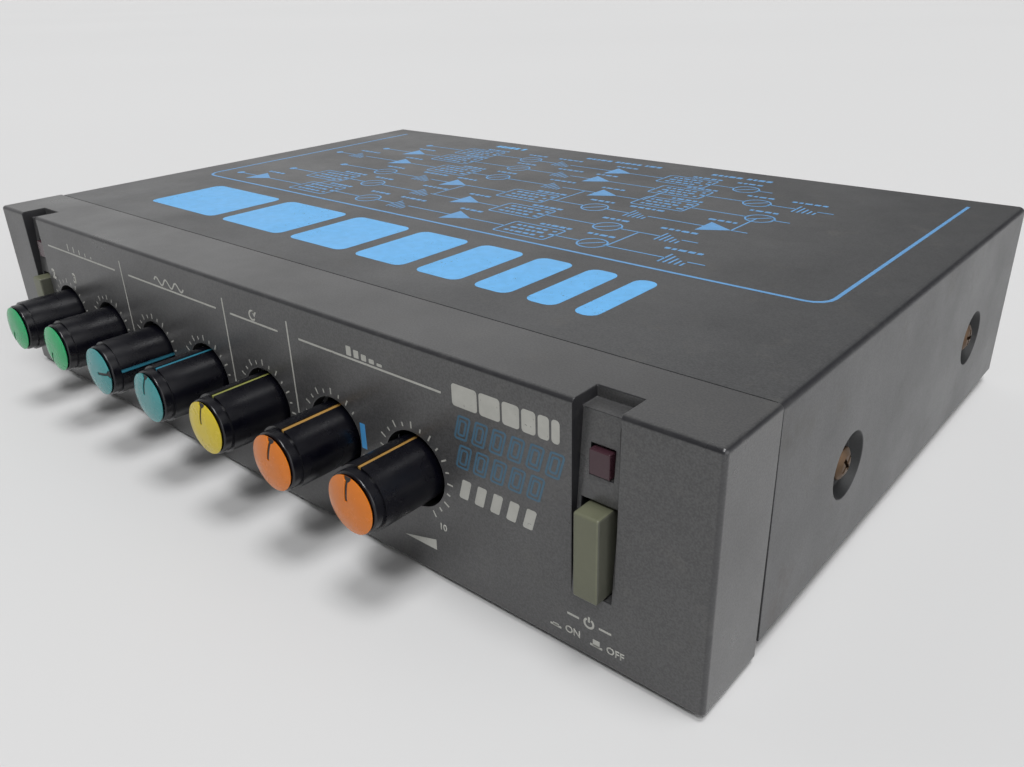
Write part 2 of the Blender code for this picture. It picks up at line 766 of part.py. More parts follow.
def make_feet():
    height = TRAY_BOTTOM - GAP
    profile = [
        (0, height),
        (FOOT_RADIUS, height),
        (FOOT_RADIUS, FOOT_CHAMFER),
        (FOOT_RADIUS - FOOT_CHAMFER, 0),
        (0, 0),
    ]
    mesh = frozen_mesh(turned("foot_pattern", profile), "foot")
    places = [(x, depth) for x in FOOT_XS for depth in FOOT_DEPTHS]
    for number, (x, depth) in enumerate(places, start=1):
        foot = add(f"foot_{number}", mesh)
        foot.location = (x, place_y(depth), 0)
        finish(foot, RUBBER)


def flatted_rod(name, radius, flat, zs):
    """A rod with one flat along its lower side, as far from the axis as flat says."""
    shaft = rod(name, radius, zs)
    low, high = min(zs), max(zs)
    return cut(
        shaft,
        block(
            name + "_flat",
            around(0, 2 * radius + OVERRUN),
            (-radius - OVERRUN, -flat),
            (low - OVERRUN, high + OVERRUN),
        ),
    )


def knob_mesh():
    """The black shell of a knob: local Z points at the user and local Y at its pointer."""
    profile = [
        (0, KNOB_FRONT),
        (COLLAR_RADIUS - KNOB_CHAMFER, KNOB_FRONT),
        (COLLAR_RADIUS, KNOB_FRONT - KNOB_CHAMFER),
        (COLLAR_RADIUS, COLLAR_BACK),
        (KNOB_RADIUS - KNOB_CHAMFER, COLLAR_BACK),
        (KNOB_RADIUS, COLLAR_BACK - KNOB_CHAMFER),
        (KNOB_RADIUS, -KNOB_ENTRY),
        (0, -KNOB_ENTRY),
    ]
    pattern = turned("knob_pattern", profile)
    bore = flatted_rod(
        "knob_bore",
        BORE_RADIUS,
        SHAFT_RADIUS - SHAFT_FLAT + GAP,
        (-KNOB_ENTRY - OVERRUN, SHAFT_FRONT + GAP),
    )
    slot_width = around(0, POINTER_WIDTH + 2 * GAP)
    slot = block(
        "pointer_slot",
        slot_width,
        (SLOT_FLOOR, KNOB_RADIUS + OVERRUN),
        (-KNOB_ENTRY - OVERRUN, COLLAR_BACK),
    )
    tunnel = block(
        "pointer_tunnel",
        slot_width,
        (SLOT_FLOOR, COLLAR_RADIUS - COLLAR_SKIN),
        (COLLAR_BACK - LAP, KNOB_FRONT + OVERRUN),
    )
    cut(pattern, bore, slot, tunnel)
    return frozen_mesh(pattern, "knob")


def knob_insert_mesh():
    """The coloured cap of a knob and its pointer, joined by a tongue under the collar."""
    profile = [
        (0, KNOB_REACH),
        (CAP_RADIUS - CAP_CHAMFER, KNOB_REACH),
        (CAP_RADIUS, KNOB_REACH - CAP_CHAMFER),
        (CAP_RADIUS, CAP_BACK),
        (0, CAP_BACK),
    ]
    pattern = turned("insert_pattern", profile)
    width = around(0, POINTER_WIDTH)
    tongue = block(
        "pointer_tongue",
        width,
        (SLOT_FLOOR + GAP, COLLAR_RADIUS - COLLAR_SKIN - GAP),
        (COLLAR_BACK - GAP - LAP, KNOB_REACH - CAP_HEIGHT / 2),
    )
    pointer = block(
        "pointer_bar",
        width,
        (SLOT_FLOOR + GAP, KNOB_RADIUS),
        (-KNOB_ENTRY, COLLAR_BACK - GAP),
    )
    join(pattern, tongue, pointer)
    heights = (KNOB_REACH - MARK_DEPTH, KNOB_REACH + OVERRUN)
    line = block(
        "cap_line",
        around(0, MARK_WIDTH),
        (CAP_RADIUS - MARK_LENGTH, CAP_RADIUS + OVERRUN),
        heights,
    )
    bite = rod("cap_bite", MARK_MOUTH, heights, FEW_SIDES)
    bite.location = (0, CAP_RADIUS, 0)
    cut(pattern, line, bite)
    return frozen_mesh(pattern, "knob_insert")


def shaft_mesh():
    """The control's shaft with its rotor, on the knob's own axes."""
    rotor_front = -(CAN_FRONT + CAN_WALL + ROTOR_ROOM)
    rotor_back = rotor_front - ROTOR_HEIGHT
    round_start = -KNOB_ENTRY - SHAFT_ROUND_START
    profile = [
        (0, SHAFT_FRONT),
        (SHAFT_RADIUS, SHAFT_FRONT),
        (SHAFT_RADIUS, rotor_front),
        (ROTOR_RADIUS, rotor_front),
        (ROTOR_RADIUS, rotor_back),
        (0, rotor_back),
    ]
    pattern = turned("shaft_pattern", profile, INNER_SIDES)
    flat = block(
        "shaft_flat",
        around(0, 2 * SHAFT_RADIUS + OVERRUN),
        (-SHAFT_RADIUS - OVERRUN, SHAFT_FLAT - SHAFT_RADIUS),
        (round_start, SHAFT_FRONT + OVERRUN),
    )
    return frozen_mesh(cut(pattern, flat), "control_shaft")


def control_mesh():
    """The body of a rotary control: a neck, a can round the rotor, and its terminals below."""
    neck_radius = BORE_RADIUS + NECK_WALL
    profile = [
        (0, -NECK_FRONT),
        (neck_radius, -NECK_FRONT),
        (neck_radius, -CAN_FRONT),
        (CAN_RADIUS, -CAN_FRONT),
        (CAN_RADIUS, -CAN_BACK),
        (0, -CAN_BACK),
    ]
    pattern = turned("control_pattern", profile, INNER_SIDES)
    terminals = block(
        "control_terminals",
        around(0, TERMINAL_WIDTH),
        (-TERMINAL_DROP, -CAN_RADIUS / 2),
        (-CAN_BACK, TERMINAL_THICKNESS - CAN_BACK),
    )
    room = ROTOR_RADIUS + ROTOR_ROOM
    inside_front = -(CAN_FRONT + CAN_WALL)
    inside_back = inside_front - ROTOR_HEIGHT - 2 * ROTOR_ROOM
    hollow_profile = [
        (0, OVERRUN - NECK_FRONT),
        (BORE_RADIUS, OVERRUN - NECK_FRONT),
        (BORE_RADIUS, inside_front),
        (room, inside_front),
        (room, inside_back),
        (0, inside_back),
    ]
    hollow = turned("control_hollow", hollow_profile, INNER_SIDES)
    join(pattern, terminals)
    cut(pattern, hollow)
    return frozen_mesh(pattern, "rotary_control")


def make_knobs():
    """Seven knobs with their inserts and shafts, each on an empty on its axis, and the fixed controls."""
    knob, insert, shaft, control = knob_mesh(), knob_insert_mesh(), shaft_mesh(), control_mesh()
    for number, (x, angle, look) in enumerate(zip(KNOB_XS, POINTER_ANGLES, KNOB_LOOKS), start=1):
        centre = (x, FRONT_Y, KNOB_Z)
        axis = new_axis(f"knob_{number}_axis", centre, (math.pi / 2, angle, 0))
        turning = [
            finish(add(f"knob_{number}", knob), KNOB_BLACK),
            finish(add(f"knob_insert_{number}", insert), look),
            finish(add(f"control_shaft_{number}", shaft), BARE_METAL),
        ]
        for piece in turning:
            piece.parent = axis
        fixed = add(f"rotary_control_{number}", control)
        finish(facing(fixed, "front", centre), ZINC)


def make_button(name, x):
    """A push button with the flange that keeps it in and the stem that works its switch."""
    axis = new_axis(name + "_axis", (x, FRONT_Y, BUTTON_Z))
    flange_front = CHANNEL_BACK + GAP
    flange_back = flange_front + FLANGE_THICKNESS
    button = case_block(
        name,
        around(x, BUTTON_WIDTH),
        (-BUTTON_PROUD, flange_front + LAP),
        around(BUTTON_Z, BUTTON_HEIGHT),
    )
    round_edges(button, BUTTON_ROUND)
    flange = case_block(
        name + "_flange",
        around(x, BUTTON_WIDTH + 2 * (BUTTON_SIDE_PLAY + FLANGE_RIM)),
        (flange_front, flange_back),
        around(BUTTON_Z, BUTTON_HEIGHT + 2 * (BUTTON_END_PLAY + FLANGE_RIM)),
    )
    stem = case_block(
        name + "_stem",
        around(x, STEM_SIDE),
        (flange_back - LAP, SWITCH_FRONT + STEM_ENTRY),
        around(BUTTON_Z, STEM_SIDE),
    )
    join(button, flange, stem)
    for piece in (button, flange, stem):
        carry(piece, axis)
    return finish(button, BUTTON_GREY)


def make_switch(name, x):
    switch = case_block(
        name,
        around(x, SWITCH_WIDTH),
        (SWITCH_FRONT, CAN_BACK),
        around(BUTTON_Z, SWITCH_HEIGHT),
    )
    well = case_block(
        name + "_well",
        around(x, STEM_SIDE + 2 * GAP),
        (SWITCH_FRONT - OVERRUN, SWITCH_FRONT + STEM_ENTRY + BUTTON_TRAVEL + STEM_SPARE),
        around(BUTTON_Z, STEM_SIDE + 2 * GAP),
    )
    return finish(cut(switch, well), BLACK_PLASTIC)


def make_lamp(name, x):
    """A square lamp in the channel's floor on a base that stands on the board."""
    front = channel_depth(LAMP_Z) - LAMP_PROUD
    lamp = case_block(
        name,
        around(x, LAMP_WIDTH),
        (front, front + LAMP_LENS),
        around(LAMP_Z, LAMP_HEIGHT),
    )
    base = case_block(
        name + "_base",
        around(x, LAMP_BASE_SIDE),
        (front + LAMP_LENS - LAP, CAN_BACK),
        around(LAMP_Z, LAMP_BASE_SIDE),
    )
    return finish(join(lamp, base), LAMP_RED)


def on_board(shares):
    """The X and the depth of a place on the main board."""
    length = MAIN_BOARD_BACK - MAIN_BOARD_FRONT
    return shares[0] * MAIN_BOARD_SIDE, MAIN_BOARD_FRONT + shares[1] * length


def make_control_board():
    side = BEZEL_INNER_SIDE - GAP
    board = case_block(
        "control_board",
        (-side, side),
        (CONTROL_BOARD_FRONT, CONTROL_BOARD_BACK),
        (TRAY_TOP + GAP, BEZEL_INNER_TOP - GAP),
    )
    return finish(board, BOARD_GREEN)


def make_main_board():
    """The board on the tray's bosses, with its memory chips and capacitors."""
    board = case_block(
        "main_board",
        (-MAIN_BOARD_SIDE, MAIN_BOARD_SIDE),
        (MAIN_BOARD_FRONT, MAIN_BOARD_BACK),
        (BOARD_BOTTOM, BOARD_TOP),
    )
    first_x, depth = on_board(MEMORY_SHARES)
    for number in range(MEMORY_COUNT):
        chip = case_block(
            f"memory_chip_{number + 1}",
            around(first_x + number * MEMORY_PITCH, MEMORY_SIZE[0]),
            around(depth, MEMORY_SIZE[1]),
            (BOARD_TOP - LAP, BOARD_TOP + MEMORY_SIZE[2]),
        )
        join(board, chip)
    first_x, depth = on_board(CAPACITOR_SHARES)
    for number in range(CAPACITOR_COUNT):
        can = rod(
            f"capacitor_{number + 1}",
            CAPACITOR_RADIUS,
            (BOARD_TOP - LAP, BOARD_TOP + CAPACITOR_HEIGHT),
            FEW_SIDES,
        )
        can.location = (first_x + number * CAPACITOR_PITCH, place_y(depth), 0)
        join(board, can)
    return finish(board, BOARD_GREEN)


def make_processor():
    low = BOARD_TOP + GAP
    x, depth = on_board(PROCESSOR_SHARES)
    chip = case_block(
        "delay_processor",
        around(x, PROCESSOR_SIZE[0]),
        around(depth, PROCESSOR_SIZE[1]),
        (low, low + PROCESSOR_SIZE[2]),
    )
    return finish(chip, BLACK_PLASTIC)


def make_ribbon_cable():
    """A flat cable that leaves the control board level and bends down to the main board."""
    end_z = BOARD_TOP + GAP
    bend_z = end_z + RIBBON_DROP
    bend_depth = CONTROL_BOARD_BACK + GAP + RIBBON_RUN
    path = [(CONTROL_BOARD_BACK + GAP, bend_z + RIBBON_BEND)]
    for step in range(RIBBON_BEND_STEPS + 1):
        turn = math.pi / 2 * step / RIBBON_BEND_STEPS
        depth = bend_depth + RIBBON_BEND * math.sin(turn)
        path.append((depth, bend_z + RIBBON_BEND * math.cos(turn)))
    path.append((bend_depth + RIBBON_BEND, end_z))
    shape = bmesh.new()
    rows = []
    for x in around(RIBBON_SHARE * MAIN_BOARD_SIDE, RIBBON_WIDTH):
        rows.append([shape.verts.new((x, place_y(depth), z)) for depth, z in path])
    edges = [shape.edges.new(pair) for pair in zip(rows[0], rows[0][1:])]
    edges += [shape.edges.new(pair) for pair in zip(rows[1], rows[1][1:])]
    bmesh.ops.bridge_loops(shape, edges=edges)
    bmesh.ops.recalc_face_normals(shape, faces=shape.faces)
    mesh = bpy.data.meshes.new("ribbon_cable")
    shape.to_mesh(mesh)
    shape.free()
    ribbon = add("ribbon_cable", mesh)
    strip = ribbon.modifiers.new("strip", "SOLIDIFY")
    strip.thickness = RIBBON_THICKNESS
    strip.offset = 0
    strip.use_even_offset = True
    return finish(ribbon, CABLE_GREY)


def jack_mesh():
    """A socket for a quarter-inch plug: local Z points out of the rear panel, from its face."""
    body_front = -TRAY_SHEET - GAP
    body_back = body_front - JACK_LENGTH
    profile = [
        (0, JACK_REACH),
        (BUSHING_RADIUS - BUSHING_CHAMFER, JACK_REACH),
        (BUSHING_RADIUS, JACK_REACH - BUSHING_CHAMFER),
        (BUSHING_RADIUS, body_front - LAP),
        (0, body_front - LAP),
    ]
    pattern = turned("jack_pattern", profile, INNER_SIDES)
    body = block(
        "jack_body",
        around(0, JACK_WIDTH),
        around(0, JACK_HEIGHT),
        (body_back, body_front),
    )
    bore = rod("jack_bore", JACK_BORE_RADIUS, (body_back + JACK_BORE_END, JACK_REACH + OVERRUN))
    return frozen_mesh(cut(join(pattern, body), bore), "jack")


def nut_mesh():
    radius = NUT_WIDTH / 2 / math.cos(math.pi / NUT_SIDES)
    pattern = rod("nut_pattern", radius, (GAP, GAP + NUT_HEIGHT), NUT_SIDES)
    hole = rod("nut_hole", BUSHING_RADIUS + GAP, (GAP - OVERRUN, GAP + NUT_HEIGHT + OVERRUN))
    return frozen_mesh(cut(pattern, hole), "jack_nut")


def make_jacks():
    jack, nut = jack_mesh(), nut_mesh()
    for number, x in enumerate(JACK_XS, start=1):
        place = (x, place_y(REAR_FACE), JACK_Z)
        finish(facing(add(f"jack_{number}", jack), "rear", place), BLACK_PLASTIC)
        finish(facing(add(f"jack_nut_{number}", nut), "rear", place), BARE_METAL)


def make_power_inlet():
    """A socket for an adaptor's round plug, with its centre pin."""
    inner = REAR_INNER - GAP
    inlet = case_block(
        "power_inlet",
        around(INLET_X, INLET_WIDTH),
        (inner - INLET_LENGTH, inner),
        around(INLET_Z, INLET_HEIGHT),
    )
    mouth = (INLET_X, place_y(REAR_FACE), INLET_Z)
    collar = rod("inlet_collar", INLET_COLLAR_RADIUS, (-TRAY_SHEET - GAP - LAP, INLET_REACH))
    ring_profile = [
        (INLET_BORE_RADIUS, INLET_REACH + OVERRUN),
        (INLET_BORE_RADIUS, INLET_REACH - INLET_BORE_DEPTH),
        (INLET_PIN_RADIUS, INLET_REACH - INLET_BORE_DEPTH),
        (INLET_PIN_RADIUS, INLET_REACH + OVERRUN),
    ]
    ring = turned("inlet_bore", ring_profile, INNER_SIDES, closed=True)
    join(inlet, facing(collar, "rear", mouth))
    cut(inlet, facing(ring, "rear", mouth))
    return finish(inlet, BLACK_PLASTIC)


def make_level_switch():
    """A slide switch in the rear panel, and the slider that the user moves."""
    inner = REAR_INNER - GAP
    well_depth = LEVEL_BODY_LENGTH - LEVEL_BODY_WALL
    slide_span = (LEVEL_X - LEVEL_STEM_WIDTH / 2, LEVEL_X + LEVEL_STEM_WIDTH / 2 + LEVEL_TRAVEL)
    body = case_block(
        "level_switch",
        around(sum(slide_span) / 2, LEVEL_BODY_WIDTH),
        (inner - LEVEL_BODY_LENGTH, inner),
        around(JACK_Z, LEVEL_BODY_HEIGHT),
    )
    well = case_block(
        "level_switch_well",
        (slide_span[0] - GAP, slide_span[1] + GAP),
        (inner - well_depth, inner + OVERRUN),
        around(JACK_Z, LEVEL_STEM_HEIGHT + 2 * GAP),
    )
    finish(cut(body, well), ZINC)
    outer = REAR_FACE + LEVEL_REACH
    slider = case_block(
        "level_slider",
        around(LEVEL_X, LEVEL_STEM_WIDTH),
        (inner - well_depth + GAP, outer),
        around(JACK_Z, LEVEL_STEM_HEIGHT),
    )
    round_edges(slider, LEVEL_ROUND, CHAMFER_STEPS)
    spacing = LEVEL_STEM_WIDTH / (LEVEL_GROOVE_COUNT + 1)
    for number in range(1, LEVEL_GROOVE_COUNT + 1):
        x = LEVEL_X - LEVEL_STEM_WIDTH / 2 + number * spacing
        groove = case_block(
            f"slider_groove_{number}",
            around(x, LEVEL_GROOVE_WIDTH),
            (outer - LEVEL_GROOVE_DEPTH, outer + OVERRUN),
            around(JACK_Z, LEVEL_STEM_HEIGHT + OVERRUN),
        )
        cut(slider, groove)
    return finish(slider, BLACK_PLASTIC)


clear_scene()
PARTS = new_collection("rack_delay_unit")
CUTTERS = new_collection("cutters")
make_front_bezel()
make_top_cover()
make_chassis_tray()
make_side_screws()
make_feet()
make_knobs()
for place, x in zip(("effect", "power"), CHANNEL_XS):
    make_button(place + "_button", x)
    make_switch(place + "_switch", x)
    make_lamp(place + "_lamp", x)
make_control_board()
make_main_board()
make_processor()
make_ribbon_cable()
make_jacks()
make_power_inlet()
make_level_switch()
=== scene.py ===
"""The looks of the rack delay unit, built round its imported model.

Lengths are in metres in the model's own frame: the unit faces -Y and stands on Z = 0."""

import json
import math

import bmesh
import bpy
from mathutils import Matrix, Vector


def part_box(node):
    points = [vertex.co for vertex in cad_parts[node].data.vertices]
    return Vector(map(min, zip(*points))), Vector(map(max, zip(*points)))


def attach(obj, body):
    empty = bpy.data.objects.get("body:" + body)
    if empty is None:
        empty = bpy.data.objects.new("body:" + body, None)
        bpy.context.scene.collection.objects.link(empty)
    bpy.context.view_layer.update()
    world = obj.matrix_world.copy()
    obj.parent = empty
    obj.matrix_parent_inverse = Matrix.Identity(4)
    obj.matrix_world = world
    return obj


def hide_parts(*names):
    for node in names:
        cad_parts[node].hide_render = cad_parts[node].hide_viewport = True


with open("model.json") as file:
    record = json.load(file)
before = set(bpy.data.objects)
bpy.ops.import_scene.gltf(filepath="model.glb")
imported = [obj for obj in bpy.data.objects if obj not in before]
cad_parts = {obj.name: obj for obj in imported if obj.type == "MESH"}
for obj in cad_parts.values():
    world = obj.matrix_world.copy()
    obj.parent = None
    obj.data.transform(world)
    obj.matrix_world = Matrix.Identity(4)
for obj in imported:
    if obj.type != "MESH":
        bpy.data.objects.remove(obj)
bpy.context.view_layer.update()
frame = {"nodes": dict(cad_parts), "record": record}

# Camera, solved from the corners of the case in the photograph
EYE = (0.15042, -0.15469, 0.0995)
SIGHT_RIGHT = (0.75898, 0.65056, -0.02676)
SIGHT_DOWN = (0.26042, -0.34097, -0.90328)
SIGHT_AHEAD = (-0.59677, 0.67861, -0.42821)
LENS = 30.58
SENSOR = 36.0

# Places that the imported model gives
BEZEL_LOW, BEZEL_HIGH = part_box("front_bezel")
COVER_LOW, COVER_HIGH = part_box("top_cover")
FRONT_Y = BEZEL_LOW.y
REAR_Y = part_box("chassis_tray")[1].y
TOP_Z = COVER_HIGH.z
KNOB_COUNT = 7
JACK_COUNT = 4
SCREW_COUNT = 4
FOOT_COUNT = 4


def middle(node):
    low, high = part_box(node)
    return (low + high) / 2


# Sizes of the moulded front
BEZEL_DEPTH = 0.0162
BEZEL_WALL = 0.0025
BEZEL_FLOOR = 0.0023
BEZEL_ROUND = 0.0009
LIP_RISE = 0.0055
CHANNEL_WIDTH = 0.0081
CHANNEL_DEPTH = 0.0025
CHANNEL_FOOT_DEPTH = -0.00005
CHANNEL_BACK = 0.0045
CHANNEL_BOTTOM = 0.0106
PAD_RIM = 0.0014
NOTCH_LENGTH = 0.0061
NOTCH_DEPTH = 0.0019
BUTTON_FRONT = (0.0046, 0.0151)
LAMP_FRONT = (0.0036, 0.0042)
BUTTON_SIDE_PLAY = 0.0009
BUTTON_END_PLAY = 0.0004
LAMP_PLAY = 0.0003
KNOB_HOLE_RADIUS = 0.0072
MOULD_EDGE = 0.00022
SEAM_GAP = 0.00004
SEAM_SUNK = 0.0001

# How far a cutting shape runs past what it cuts, and how far joined shapes overlap
OVERRUN = 0.002
CUTTER_REACH = 0.01
LAP = 0.0005

# Sizes of the folded cover
SHEET = 0.001
COVER_ROUND = 0.0014
SEAT_RADIUS = 0.0063
SEAT_FLOOR_RADIUS = 0.005
SEAT_DEPTH = 0.0022
SEAT_HOLE_RADIUS = 0.0018
PRESSED_EDGE = 0.00045
SEAT_START = 0.0003  # the depth at which a seat's painted shade begins
COVER_GAP = 0.0007  # by which the side seam widens downward
SHEET_EDGE = 0.00012

# Sizes of the side screws and the feet
SCREW_RISE = 0.0017
HEAD_RADIUS = 0.0031
SHANK_RADIUS = 0.0015
SHANK_LENGTH = 0.0055
SCREW_DOME = (0.0018, 0.0016)
SCREW_SIDES = 48
CROSS_LENGTH = 0.0036
CROSS_WIDTH = 0.0008
CROSS_HEIGHTS = (0.0008, 0.003)
SCREW_TURNS = (57, 94, 131, 168)
FOOT_ROUND = 0.0008
FOOT_RIM = 0.0018
FOOT_SLOPE = 0.0004
FOOT_HOLLOW = 0.0005
FOOT_EDGE = 0.0002

# Sizes of the knobs, as heights in front of the panel and radii
KNOB_REACH = FRONT_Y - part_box("knob_insert_7")[0].y
KNOB_ENTRY = 0.0014
KNOB_RADIUS = 0.00615
COLLAR_RADIUS = 0.0057
COLLAR_LENGTH = 0.002
COLLAR_EDGE = 0.0004
SKIRT_EDGE = 0.0002
CAP_RADIUS = 0.0054
CAP_HEIGHT = 0.0009
CAP_FLAT = 0.0014
CAP_FALL = 0.00072
CAP_STEPS = 14
CAP_GAP = 0.0003
CAP_EDGE = 0.0001
POINTER_WIDTH = 0.0008
POINTER_SUNK = 0.00015
POINTER_PLAY = 0.00006
POINTER_GAP = 0.0001
POINTER_FLOOR = 0.0043
SHAFT_BORE_RADIUS = 0.0033
SHAFT_BORE_END = 0.0107
MARK_WIDTH = 0.00066
MARK_LENGTH = 0.0044
MARK_DEPTH = 0.00085
MARK_SUNK = 0.00014
MARK_MOUTH = 0.00092
MARK_PLAY = 0.00002
POINTER_ANGLES = (-150, -150, 83, 9, 4, 11, 2)

# Sizes of the buttons and the lamps
BUTTON_ROUND = 0.00045
BUTTON_CAP_DEPTH = 0.005
FLANGE_DEPTHS = (0.0003, 0.0015)  # behind the channel's back
STEM_WIDTH = 0.003
STEM_START = 0.001
LENS_EDGE = 0.00018

# Sizes of the jacks, as radii, heights above the rear panel and depths below it
BUSHING_RADIUS = 0.0047
BUSHING_EDGE = 0.0005
BUSHING_START = 0.002
JACK_MOUTH_RADIUS = 0.0043
JACK_MOUTH_RISE = 0.001
JACK_MOUTH_DEPTH = 0.0005
JACK_BORE_RADIUS = 0.00325
JACK_BORE_DEPTH = 0.022
NUT_ACROSS = 0.0128
NUT_HEIGHTS = (0.0003, 0.0027)
NUT_FLAT_RADIUS = 0.0057
NUT_DOME_RADIUS = 0.0080
NUT_DOME_HEIGHT = 0.0016
NUT_HOLE_RADIUS = 0.0050
NUT_EDGE = 0.0001
NUT_TURN = 11

# Sizes of the adaptor's socket, in the same way
INLET_RADIUS = 0.0047
INLET_RISE = 0.0004
INLET_EDGE = 0.0002
INLET_BORE_RADIUS = 0.0029
INLET_BORE_DEPTH = 0.0091
INLET_PIN_RADIUS = 0.00105
INLET_PIN_SHOULDER = (0.0006, 0.0004)
INLET_PIN_DEPTH = 0.0002

# Sides of the turned pieces
ROUND_STEPS = 8
FINE_SIDES = 96
SIDES = 64
SMALL_SIDES = 32

# How far the ink reaches into a face and stands in front of it
INK_SUNK = 0.00002
INK_PROUD = 0.00002


# Mesh helpers


def add_object(name, data):
    obj = bpy.data.objects.new(name, data)
    bpy.context.scene.collection.objects.link(obj)
    return obj


def from_bmesh(name, shape):
    mesh = bpy.data.meshes.new(name)
    bmesh.ops.recalc_face_normals(shape, faces=shape.faces)
    shape.to_mesh(mesh)
    shape.free()
    return add_object(name, mesh)


def slab(name, xs, ys, zs):
    """A box between two values on each axis."""
    shape = bmesh.new()
    bmesh.ops.create_cube(shape, size=1)
    spans = [(min(span), max(span)) for span in (xs, ys, zs)]
    for vertex in shape.verts:
        shares = [place + 0.5 for place in vertex.co]
        vertex.co = [low + share * (high - low) for share, (low, high) in zip(shares, spans)]
    return from_bmesh(name, shape)


def about(centre, size):
    return (centre - size / 2, centre + size / 2)


def rounded(corners, closed, steps=4):
    """The points of an outline whose corners, given as (u, v, radius), become arcs."""
    points = []
    count = len(corners)
    for index, corner in enumerate(corners):
        place, radius = Vector(corner[:2]), (corner[2] if len(corner) > 2 else 0)
        if not radius or (not closed and index in (0, count - 1)):
            points.append(place)
            continue
        before = (Vector(corners[index - 1][:2]) - place).normalized()
        after = (Vector(corners[(index + 1) % count][:2]) - place).normalized()
        half = before.angle(after) / 2
        centre = place + (before + after).normalized() * radius / math.sin(half)
        first = place + before * radius / math.tan(half) - centre
        last = place + after * radius / math.tan(half) - centre
        turn = first.angle_signed(last)
        for step in range(steps + 1):
            points.append(centre + Matrix.Rotation(-turn * step / steps, 2) @ first)
    return points


def lathe(name, profile, sides, closed=False):
    """A shape turned about Z, from corners given as (radius, height, rounding). It is closed on the axis
    at both ends, or goes once round the section of a ring."""
    if not closed:
        profile = [*profile, (0, profile[-1][1])]
        if profile[0][0]:
            profile.insert(0, (0, profile[0][1]))
    points = rounded(profile, closed)
    shape = bmesh.new()
    rings = []
    for radius, height in points:
        if radius < 1e-7:
            rings.append([shape.verts.new((0, 0, height))])
            continue
        angles = [2 * math.pi * side / sides for side in range(sides)]
        places = [(radius * math.cos(a), radius * math.sin(a), height) for a in angles]
        rings.append([shape.verts.new(place) for place in places])
    pairs = list(zip(rings, rings[1:]))
    if closed:
        pairs.append((rings[-1], rings[0]))
    for upper, lower in pairs:
        for side in range(sides):
            after = (side + 1) % sides
            corners = [upper[side % len(upper)], upper[after % len(upper)]]
            corners += [lower[after % len(lower)], lower[side % len(lower)]]
            kept = [corner for place, corner in enumerate(corners) if corner not in corners[:place]]
            if len(kept) > 2:
                shape.faces.new(kept)
    return from_bmesh(name, shape)


def plug(name, radius, high, low, sides=None):
    """A round bar about Z between two heights."""
    return lathe(name, ((radius, high), (radius, low)), sides or SIDES)


def put(obj, matrix):
    """Moves an object's mesh, so that the object itself stays at the origin."""
    obj.data.transform(matrix)
    return obj


def facing(direction, place=(0, 0, 0), turn=0.0):
    """A matrix that points local Z to the front, the rear or a side, after a turn about local Z."""
    quarter = math.pi / 2
    turns = {
        "front": Matrix.Rotation(quarter, 4, "X"),
        "rear": Matrix.Rotation(-quarter, 4, "X"),
        "right": Matrix.Rotation(quarter, 4, "Y"),
        "left": Matrix.Rotation(-quarter, 4, "Y"),
        "up": Matrix.Identity(4),
    }
    return Matrix.Translation(place) @ turns[direction] @ Matrix.Rotation(turn, 4, "Z")


def at_side(number, reach, turn=0.0):
    """The place of a side screw, at a distance from the middle of the case."""
    centre = middle(f"side_screw_{number}")
    if centre.x > 0:
        return facing("right", (reach, centre.y, centre.z), turn)
    return facing("left", (-reach, centre.y, centre.z), turn)


def at_rear(node):
    centre = middle(node)
    return facing("rear", (centre.x, REAR_Y, centre.z))


def settle(obj):
    """Applies an object's modifiers."""
    bpy.context.view_layer.update()
    graph = bpy.context.evaluated_depsgraph_get()
    mesh = bpy.data.meshes.new_from_object(obj.evaluated_get(graph))
    obj.modifiers.clear()
    obj.data = mesh
    return obj


def combine(target, others, operation):
    for other in others:
        modifier = target.modifiers.new(other.name, "BOOLEAN")
        modifier.operation = operation
        modifier.solver = "EXACT"
        modifier.object = other
    settle(target)
    for other in others:
        bpy.data.objects.remove(other, do_unlink=True)
    return target


def cut(target, *others):
    return combine(target, others, "DIFFERENCE")


def join(target, *others):
    return combine(target, others, "UNION")


def round_edges(obj, width, segments=3, angle=30):
    """Rounds the sharp edges, and smooths the shading over them."""
    bevel = obj.modifiers.new("edges", "BEVEL")
    bevel.width = width
    bevel.segments = segments
    bevel.limit_method = "ANGLE"
    bevel.angle_limit = math.radians(angle)
    bevel.use_clamp_overlap = False
    bevel.harden_normals = False
    settle(obj)
    return smooth(obj)


def smooth(obj, angle=35):
    obj.data.shade_smooth()
    obj.data.set_sharp_from_angle(angle=math.radians(angle))
    weighted = obj.modifiers.new("weighted_normals", "WEIGHTED_NORMAL")
    weighted.keep_sharp = True
    return settle(obj)


def repaint(obj, material, test):
    """Gives the faces that pass a test, by centre and direction, a second material."""
    obj.data.materials.append(material)
    place = len(obj.data.materials) - 1
    for face in obj.data.polygons:
        if test(face.center, face.normal):
            face.material_index = place


def dress(obj, slot, body, *nodes, material=None):
    """Gives a finished piece the material of its slot, puts it on its body, and hides the nodes that it
    stands for.
    """
    obj.data.materials.clear()
    obj.data.materials.append(material or MATERIALS[slot])
    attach(obj, body)
    if nodes:
        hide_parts(*nodes)
    return obj


# Materials


